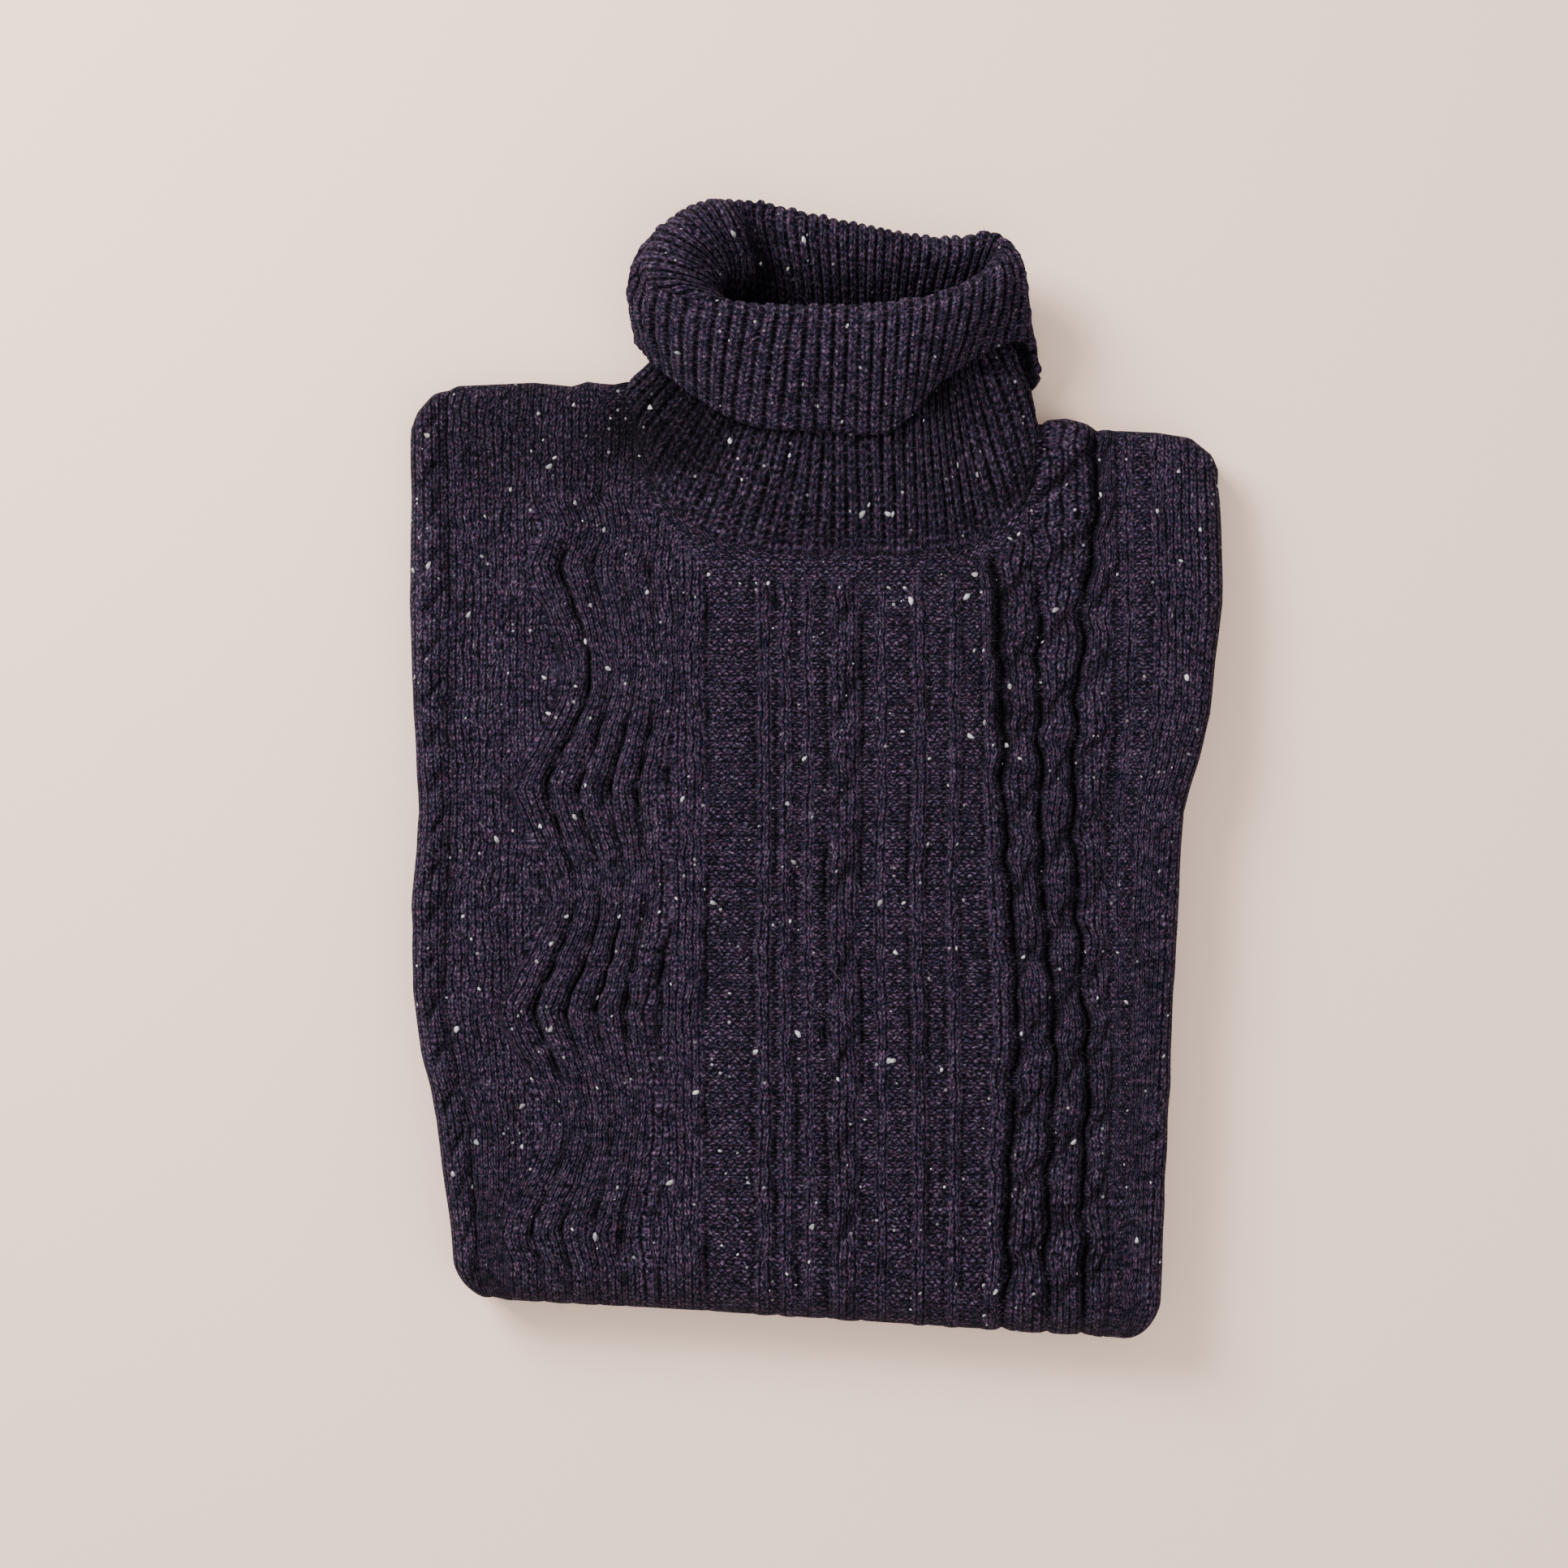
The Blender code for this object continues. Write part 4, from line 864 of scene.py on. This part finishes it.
# yarn: a dark tweed of mixed fibres, knitted plain or purl
yarn = {
    "navy": (0.0185, 0.0158, 0.0372, 1.0),
    "purple": (0.0405, 0.0148, 0.0335, 1.0),
    "slate": (0.0262, 0.0220, 0.0345, 1.0),
    "fleck": (0.30, 0.28, 0.30, 1.0),
    "contrast": 11.5,  # of the single fibres
    "strandContrast": 11.0,
    "broadContrast": 2.8,
    "paler": 0.65,  # how far the light strands turn to slate
    "lighter": 0.55,  # share of the contrast that is left in the light strands
    # how far the painted shade darkens the yarn
    "paintedShadeDark": 0.97,
    # painted shade low in each stitch, between its strands
    "stitchShade": 1.75,  # how much darker the yarn is low in a stitch
    # scale of each noise, from the finest
    "noise": {"fibre": 1250.0, "strand": 430.0, "stray": 330.0, "fleck": 260.0, "broad": 120.0, "gap": 55.0},
    "wale": 0.0034,  # width of one column of stitches
    "course": 0.0027,  # height of one row
    "surface": {"Roughness": 0.95, "Specular IOR Level": 0.05, "Sheen Weight": 0.02, "Sheen Roughness": 0.5,
                "Sheen Tint": (0.80, 0.72, 0.95, 1.0)},
}


def newMaterial(name, surface):
    material = bpy.data.materials.new(name)
    material.use_nodes = True
    shader = material.node_tree.nodes["Principled BSDF"]
    for key, value in surface.items():
        shader.inputs[key].default_value = value
    return material, material.node_tree, shader


def newGroup(name, inputs, outputs):
    # a node group with named sockets, and its two ends
    tree = bpy.data.node_groups.new(name, "ShaderNodeTree")
    for way, sockets in (("INPUT", inputs), ("OUTPUT", outputs)):
        for socket, kind in sockets:
            tree.interface.new_socket(socket, in_out=way, socket_type="NodeSocket" + kind)
    return tree, tree.nodes.new("NodeGroupInput").outputs, tree.nodes.new("NodeGroupOutput").inputs


def feed(tree, socket, item):
    # another node's output is linked, and a number or a colour is set
    if isinstance(item, bpy.types.NodeSocket):
        tree.links.new(item, socket)
    else:
        socket.default_value = item


def calc(tree, operation, *given, clamp=False):
    node = tree.nodes.new("ShaderNodeMath")
    node.operation = operation
    node.use_clamp = clamp
    for socket, item in zip(node.inputs, given):
        feed(tree, socket, item)
    return node.outputs[0]


def swing(tree, item, amount):
    # a noise about 0, with this much swing
    return calc(tree, "MULTIPLY", calc(tree, "SUBTRACT", item, 0.5), amount)


def fromMiddle(tree, item):
    # 0 in the middle of each column, 1 at its sides
    return calc(tree, "MULTIPLY", calc(tree, "ABSOLUTE", calc(tree, "SUBTRACT", calc(tree, "FRACT", item), 0.5)), 2.0)


def blend(tree, amount, first, second, kind=None):
    # values, or colours where a kind of blend is named
    node = tree.nodes.new("ShaderNodeMix")
    start, result = 2, 0
    if kind:
        node.data_type = "RGBA"
        node.blend_type = kind
        start, result = 6, 2
    for socket, item in ((0, amount), (start, first), (start + 1, second)):
        feed(tree, node.inputs[socket], item)
    return node.outputs[result]


def split(tree, vector):
    node = tree.nodes.new("ShaderNodeSeparateXYZ")
    tree.links.new(vector, node.inputs[0])
    return node.outputs


def softStep(tree, item, low, high):
    node = tree.nodes.new("ShaderNodeMapRange")
    node.interpolation_type = "SMOOTHSTEP"
    node.inputs["From Min"].default_value = low
    node.inputs["From Max"].default_value = high
    tree.links.new(item, node.inputs["Value"])
    return node.outputs[0]


def noiseOf(tree, vector, scale, detail, rough):
    node = tree.nodes.new("ShaderNodeTexNoise")
    node.inputs["Scale"].default_value = scale
    node.inputs["Detail"].default_value = detail
    node.inputs["Roughness"].default_value = rough
    tree.links.new(vector, node.inputs["Vector"])
    return node


def stretched(tree, vector, scale):
    node = tree.nodes.new("ShaderNodeMapping")
    node.inputs["Scale"].default_value = scale
    tree.links.new(vector, node.inputs["Vector"])
    return node.outputs[0]


def makeStitchGroup():
    # height of the yarn in each stitch, from the place along the knit
    inputs = (("Lay", "Vector"), ("Knit", "Float"), ("Wale", "Float"), ("Course", "Float"), ("Stray", "Float"))
    tree, given, put = newGroup("knitStitches", inputs, (("Height", "Float"),))
    lay = split(tree, given["Lay"])
    stray = split(tree, noiseOf(tree, given["Lay"], yarn["noise"]["stray"], 2.0, 0.6).outputs["Color"])
    u = calc(tree, "ADD", lay[0], swing(tree, stray[0], given["Stray"]))
    v = calc(tree, "ADD", lay[1], swing(tree, stray[1], given["Stray"]))
    column = calc(tree, "DIVIDE", u, given["Wale"])
    row = calc(tree, "DIVIDE", v, given["Course"])
    # plain: two legs of yarn meet in a V in each column
    side = fromMiddle(tree, column)
    slant = calc(tree, "MULTIPLY_ADD", side, -0.75, row)
    strand = calc(tree, "COSINE", calc(tree, "MULTIPLY", slant, 2.0 * math.pi))
    strand = calc(tree, "MULTIPLY_ADD", strand, 0.32, 0.68)
    leg = calc(tree, "SINE", calc(tree, "MULTIPLY", calc(tree, "MULTIPLY_ADD", side, 0.9, 0.1), math.pi))
    leg = calc(tree, "POWER", calc(tree, "MAXIMUM", leg, 0.0001), 1.3)
    edge = fromMiddle(tree, calc(tree, "DIVIDE", lay[0], given["Wale"]))
    clear = noiseOf(tree, given["Lay"], yarn["noise"]["gap"], 1.0, 0.5).outputs["Fac"]
    clear = softStep(tree, clear, 0.36, 0.62)
    clear = calc(tree, "MULTIPLY_ADD", clear, -0.75, -0.1)
    gap = calc(tree, "MULTIPLY_ADD", softStep(tree, edge, 0.5, 1.0), clear, 1.0)
    plain = calc(tree, "MULTIPLY", calc(tree, "MULTIPLY", leg, strand), gap)
    # purl: rows of short arcs, every other row shifted by half a stitch
    turned = calc(tree, "MULTIPLY", column, 2.0 * math.pi)
    bent = calc(tree, "MULTIPLY_ADD", calc(tree, "COSINE", turned), 0.2, calc(tree, "MULTIPLY", row, 1.6))
    arch = calc(tree, "ABSOLUTE", calc(tree, "SINE", calc(tree, "MULTIPLY", bent, math.pi)))
    shift = calc(tree, "MULTIPLY_ADD", calc(tree, "FLOOR", bent), math.pi, turned)
    bead = calc(tree, "MULTIPLY_ADD", calc(tree, "COSINE", shift), 0.5, 0.62)
    purl = calc(tree, "MULTIPLY", calc(tree, "POWER", calc(tree, "MAXIMUM", arch, 0.0001), 1.1), bead)
    tree.links.new(blend(tree, given["Knit"], purl, plain), put["Height"])
    return tree


def makeTweedGroup():
    # colour of the mixed fibres, with painted shade between stitches and in grooves
    inputs = (("Place", "Vector"), ("Lay", "Vector"), ("Knit", "Float"), ("Height", "Float"), ("PaintedShade", "Float"),
              ("Contrast", "Float"), ("Navy", "Color"), ("Purple", "Color"), ("Slate", "Color"), ("Fleck", "Color"))
    tree, given, put = newGroup("tweedFibres", inputs, (("Color", "Color"), ("Fibre", "Float")))
    # single fibres run along the yarn: upright in plain knit, level in purl
    scales = yarn["noise"]
    level, upright = (
        noiseOf(tree, stretched(tree, given["Lay"], stretch), scales["fibre"], 2.0, 0.65).outputs["Fac"]
        for stretch in ((0.5, 1.0, 1.0), (1.0, 0.5, 1.0))
    )
    fibre = blend(tree, given["Knit"], level, upright)
    strands = noiseOf(tree, given["Place"], scales["strand"], 3.0, 0.65)
    broad = noiseOf(tree, given["Place"], scales["broad"], 2.0, 0.6)
    hue = split(tree, strands.outputs["Color"])
    color = blend(tree, softStep(tree, hue[0], 0.42, 0.62), given["Navy"], given["Purple"], "MIX")
    color = blend(tree, softStep(tree, hue[1], 0.46, 0.64), color, given["Slate"], "MIX")
    # lighter and darker by powers of two, and the lighter strands are paler too
    power = swing(tree, fibre, given["Contrast"])
    for noise, amount in ((strands, yarn["strandContrast"]), (broad, yarn["broadContrast"])):
        centred = calc(tree, "SUBTRACT", noise.outputs["Fac"], 0.5)
        power = calc(tree, "MULTIPLY_ADD", centred, amount, power)
    paler = calc(tree, "MULTIPLY", softStep(tree, power, 0.0, 2.0), yarn["paler"])
    color = blend(tree, paler, color, given["Slate"], "MIX")
    power = calc(tree, "MINIMUM", power, calc(tree, "MULTIPLY", power, yarn["lighter"]))
    # painted shade low in each stitch, where the yarn dips between strands
    light = calc(tree, "MULTIPLY_ADD", given["Height"], yarn["stitchShade"], 0.05)
    light = calc(tree, "MULTIPLY", calc(tree, "POWER", 2.0, power), light)
    # the painted shade from the mesh darkens the colour
    notShaded = calc(tree, "MULTIPLY_ADD", given["PaintedShade"], -yarn["paintedShadeDark"], 1.0, clamp=True)
    light = calc(tree, "MULTIPLY", light, notShaded)
    color = blend(tree, 1.0, color, light, "MULTIPLY")
    # small pale flecks spun into the yarn
    grain = tree.nodes.new("ShaderNodeTexVoronoi")
    grain.inputs["Scale"].default_value = scales["fleck"]
    tree.links.new(given["Place"], grain.inputs["Vector"])
    chance = split(tree, grain.outputs["Color"])
    inside = calc(tree, "SUBTRACT", 1.0, softStep(tree, grain.outputs["Distance"], 0.12, 0.22))
    small = calc(tree, "MULTIPLY", softStep(tree, chance[0], 0.90, 0.91), inside)
    fleck = calc(tree, "MULTIPLY", small, softStep(tree, chance[1], 0.1, 1.0))
    color = blend(tree, fleck, color, given["Fleck"], "MIX")
    tree.links.new(color, put["Color"])
    tree.links.new(fibre, put["Fibre"])
    return tree


stitchGroup = makeStitchGroup()
tweedGroup = makeTweedGroup()


def makeYarnMaterial(name, values):
    material, tree, shader = newMaterial(name, yarn["surface"])
    lay = tree.nodes.new("ShaderNodeUVMap").outputs[0]
    where = tree.nodes.new("ShaderNodeTexCoord").outputs["Object"]
    knit = tree.nodes.new("ShaderNodeAttribute")
    knit.attribute_name = "knit"
    paintedShade = tree.nodes.new("ShaderNodeAttribute")
    paintedShade.attribute_name = "paintedShade"
    stitches = tree.nodes.new("ShaderNodeGroup")
    stitches.node_tree = stitchGroup
    tweed = tree.nodes.new("ShaderNodeGroup")
    tweed.node_tree = tweedGroup
    for key in ("Wale", "Course", "Stray"):
        stitches.inputs[key].default_value = values[key.lower()]
    for key in ("Navy", "Purple", "Slate", "Fleck"):
        tweed.inputs[key].default_value = tuple(c * values["shade"] for c in yarn[key.lower()][:3]) + (1.0,)
    tweed.inputs["Contrast"].default_value = yarn["contrast"]
    for group in (stitches, tweed):
        tree.links.new(lay, group.inputs["Lay"])
        tree.links.new(knit.outputs["Fac"], group.inputs["Knit"])
    tree.links.new(where, tweed.inputs["Place"])
    tree.links.new(stitches.outputs["Height"], tweed.inputs["Height"])
    tree.links.new(paintedShade.outputs["Fac"], tweed.inputs["PaintedShade"])
    tree.links.new(tweed.outputs["Color"], shader.inputs["Base Color"])
    bumps = tree.nodes.new("ShaderNodeBump")
    bumps.inputs["Strength"].default_value = 1.0
    bumps.inputs["Distance"].default_value = values["depth"]
    raised = calc(tree, "MULTIPLY_ADD", tweed.outputs["Fibre"], 0.8, stitches.outputs["Height"])
    tree.links.new(raised, bumps.inputs["Height"])
    tree.links.new(bumps.outputs[0], shader.inputs["Normal"])
    return material


# width and height of a stitch, how far the yarn strays, the depth of the bump and the shade of the yarn
flatKnit = {"wale": yarn["wale"], "course": yarn["course"], "stray": 0.0031, "depth": 0.0009, "shade": 1.0}
ribKnit = {"wale": collar["ribWidth"] / 1000.0, "course": 0.0028, "stray": 0.0030, "depth": 0.0009, "shade": 1.0}
insideKnit = {"wale": yarn["wale"], "course": yarn["course"], "stray": 0.0022, "depth": 0.0009, "shade": 0.9}
frontYarn = makeYarnMaterial("frontYarn", flatKnit)
collarYarn = makeYarnMaterial("collarYarn", ribKnit)
backYarn = makeYarnMaterial("backYarn", insideKnit)
for piece, material in ((frontPanel, frontYarn), (collarRib, collarYarn), (backPanel, backYarn),
                        (leftSleeve, frontYarn), (rightSleeve, frontYarn), (foldedLayers, backYarn)):
    piece.data.materials.clear()
    piece.data.materials.append(material)
print("yarn finished")


# neps and stray fibres
neps = {
    "front": 240,
    "collar": 50,
    "halfWidth": (0.34, 1.35),  # mm
    "long": (1.1, 1.9),  # length over width
    "light": {"scale": 110.0, "darkest": 0.36},  # some are darker than others
    "color": (0.52, 0.49, 0.52, 1.0),
}
fibres = {
    "front": 1500,
    "collar": 500,
    "length": (1.5, 5.0),  # mm
    "thick": 0.045,
    "color": (0.14, 0.12, 0.16, 1.0),
}
strayHairs = {
    "front": 22,
    "collar": 7,
    "length": (6.0, 12.0),  # mm
    "thick": 0.05,
    "color": (0.30, 0.28, 0.31, 1.0),
}


def spotsOn(points, normals, count, seed, lowest, knit=None):
    # seeded places, spread evenly over the faces of a grid that face up at least this much
    chance = np.random.default_rng(seed)
    across = np.linalg.norm(np.gradient(points, axis=1), axis=-1)
    down = np.linalg.norm(np.gradient(points, axis=0), axis=-1)
    weight = across * down * (normals[..., 2] > lowest) * (points[..., 2] > 6.0)
    weight[:4] = weight[-4:] = 0.0
    picks = chance.choice(weight.size, count, replace=False, p=(weight / weight.sum()).reshape(-1))
    spots = []
    for pick in picks:
        i, j = divmod(int(pick), weight.shape[1])
        upright = 1.0 if knit is None else knit[i, j]
        spots.append((points[i, j], normals[i, j], chance.random(7), upright))
    return spots


def within(span, share):
    return span[0] + (span[1] - span[0]) * share


def makeNeps(name, spots):
    bpy.ops.object.select_all(action="DESELECT")
    bpy.ops.mesh.primitive_ico_sphere_add(subdivisions=1, radius=1.0)
    piece = bpy.context.active_object
    piece.name = name
    ball = vertexPlaces(piece.data)
    faces = np.array([list(p.vertices) for p in piece.data.polygons])
    allPoints = []
    allFaces = []
    for number, (spot, normal, chance, upright) in enumerate(spots):
        half = within(neps["halfWidth"], chance[0] ** 1.9)
        long = within(neps["long"], chance[1])
        # along a leg of the V in plain knit, and across in purl
        turned = (0.55 if chance[2] < 0.5 else -0.55) + 0.7 * (chance[3] - 0.5)
        turned += 0.0 if upright > 0.5 else math.pi / 2.0
        lengthwise = np.array([math.sin(turned), math.cos(turned), 0.0])
        lengthwise = unit(lengthwise - normal * np.dot(lengthwise, normal))
        sideways = np.cross(normal, lengthwise)
        lumps = 1.0 + 0.25 * np.sin(ball @ np.array([3.1, 4.3, 2.7]) * 2.0 + number)
        shape = ball * lumps[:, None] * half
        moved = shape[:, :1] * sideways + shape[:, 1:2] * lengthwise * long + shape[:, 2:] * normal * 0.6
        allFaces.append(faces + len(allPoints) * len(ball))
        allPoints.append(spot + normal * 0.05 + moved)
    return fillMesh(piece, allPoints, np.concatenate(allFaces).tolist())


def makeFibres(name, spots, kind):
    bpy.ops.object.select_all(action="DESELECT")
    bpy.ops.mesh.primitive_cylinder_add(vertices=3, radius=1.0, depth=1.0)
    piece = bpy.context.active_object
    piece.name = name
    sides = 3
    bends = 5
    ring = np.stack([np.cos(np.arange(sides) * 2.1), np.sin(np.arange(sides) * 2.1)], axis=-1)
    t = np.linspace(0.0, 1.0, bends)[:, None]
    allPoints = []
    allFaces = []
    for spot, normal, chance, upright in spots:
        length = within(kind["length"], chance[0] ** 2)
        turned = 2.0 * math.pi * chance[1]
        lengthwise = unit(np.array([math.cos(turned), math.sin(turned), 0.0]) + normal * 0.4 * chance[2])
        sideways = unit(np.cross(normal, lengthwise))
        line = spot - normal * 0.3 + lengthwise * length * t
        line = line + sideways * length * (chance[3] - 0.5) * t * t * 0.9
        line = line + normal * np.sin(t * math.pi * (0.5 + chance[4])) * (0.5 + 0.9 * chance[5])
        rings = (ring[:, :1] * sideways + ring[:, 1:] * normal)[None] * kind["thick"]
        tube = line[:, None] + rings * (1.0 - 0.6 * t[:, None])
        start = len(allPoints) * bends * sides
        for k in range(bends - 1):
            for j in range(sides):
                a = start + k * sides + j
                b = start + k * sides + (j + 1) % sides
                allFaces.append((a, b, b + sides, a + sides))
        end = start + (bends - 1) * sides
        allFaces += [(start, start + 2, start + 1), (end, end + 1, end + 2)]
        allPoints.append(tube.reshape(-1, 3))
    return fillMesh(piece, allPoints, allFaces)


def makePlainMaterial(name, color, rough, scale=1400.0, darkest=0.72):
    # one colour that a noise of this scale darkens here and there
    material, tree, shader = newMaterial(name, {"Roughness": rough, "Specular IOR Level": 0.2})
    grain = tree.nodes.new("ShaderNodeTexNoise")
    grain.inputs["Scale"].default_value = scale
    tree.links.new(tree.nodes.new("ShaderNodeTexCoord").outputs["Object"], grain.inputs["Vector"])
    dark = tuple(c * darkest for c in color[:3]) + (1.0,)
    mixed = blend(tree, softStep(tree, grain.outputs["Fac"], 0.38, 0.62), color, dark, "MIX")
    tree.links.new(mixed, shader.inputs["Base Color"])
    return material


def frontSpots(count, seed, lowest, knit=None):
    return spotsOn(frontPoints, frontNormals, count, seed, lowest, knit)


def collarSpots(count, seed, lowest):
    return spotsOn(collarPoints, collarNormals, count, seed, lowest)


frontNeps = makeNeps("frontNeps", frontSpots(neps["front"], 11, 0.35, frontKnit))
collarNeps = makeNeps("collarNeps", collarSpots(neps["collar"], 12, 0.35))
frontFuzz = makeFibres("frontFuzz", frontSpots(fibres["front"], 13, -0.1), fibres)
collarFuzz = makeFibres("collarFuzz", collarSpots(fibres["collar"], 14, -0.1), fibres)
frontHairs = makeFibres("frontHairs", frontSpots(strayHairs["front"], 15, 0.3), strayHairs)
collarHairs = makeFibres("collarHairs", collarSpots(strayHairs["collar"], 16, 0.3), strayHairs)
finishes = (
    (makePlainMaterial("nepWool", neps["color"], 0.85, **neps["light"]), (frontNeps, collarNeps)),
    (makePlainMaterial("looseFibre", fibres["color"], 0.8), (frontFuzz, collarFuzz)),
    (makePlainMaterial("strayHair", strayHairs["color"], 0.8), (frontHairs, collarHairs)),
)
for material, pieces in finishes:
    for piece in pieces:
        piece.data.materials.append(material)
print("neps and fibres made")


# into the frame
nodeOf = {
    "front": frontPanel,
    "collar": collarRib,
    "back": backPanel,
    "left_sleeve": leftSleeve,
    "right_sleeve": rightSleeve,
    "folded_layers": foldedLayers,
}
for node, piece in nodeOf.items():
    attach(piece, "root")
    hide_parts(node)
onFront = [frontNeps, frontFuzz, frontHairs]
onCollar = [collarNeps, collarFuzz, collarHairs]
for pieces, node in ((onFront, "front"), (onCollar, "collar")):
    for piece in pieces:
        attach(piece, "root")

# floor, lights and camera
floorFinish = {"Base Color": (0.99, 0.725, 0.59, 1.0), "Roughness": 0.95, "Specular IOR Level": 0.1}
bpy.ops.object.select_all(action="DESELECT")
bpy.ops.mesh.primitive_plane_add(size=30.0)
floor = bpy.context.active_object
floor.name = "paleFloor"
floor.data.materials.append(newMaterial("paleFloor", floorFinish)[0])

lights = {
    "key": {"at": (-1.15, 1.05, 1.15), "size": 0.85, "power": 75.0, "color": (1.0, 0.985, 0.965)},
    "fill": {"at": (0.7, -0.8, 2.0), "size": 2.4, "power": 30.0, "color": (1.0, 0.985, 0.97)},
}


def makeLight(name, values):
    data = bpy.data.lights.new(name, "AREA")
    data.size = values["size"]
    data.energy = values["power"]
    data.color = values["color"]
    light = bpy.data.objects.new(name, data)
    bpy.context.scene.collection.objects.link(light)
    light.location = values["at"]
    aim = Vector((0.0, 0.0, 0.0)) - Vector(values["at"])
    light.rotation_euler = aim.to_track_quat("-Z", "Y").to_euler()


for lightName, values in lights.items():
    makeLight(lightName, values)

world = bpy.data.worlds.new("softRoom")
world.use_nodes = True
background = world.node_tree.nodes["Background"]
background.inputs[0].default_value = (1.0, 0.985, 0.97, 1.0)
background.inputs[1].default_value = 0.74
bpy.context.scene.world = world

view = {"at": (-14.04, -8.28), "above": 1450.0, "plane": 33.0, "wide": 695.5}
cameraData = bpy.data.cameras.new("overhead")
cameraData.sensor_width = 36.0
cameraData.lens = 36.0 * (view["above"] - view["plane"]) / view["wide"]
camera = bpy.data.objects.new("overhead", cameraData)
bpy.context.scene.collection.objects.link(camera)
camera.location = tuple(place([view["at"][0], view["at"][1], view["above"]]))
bpy.context.scene.camera = camera
print("room, lights and camera made")
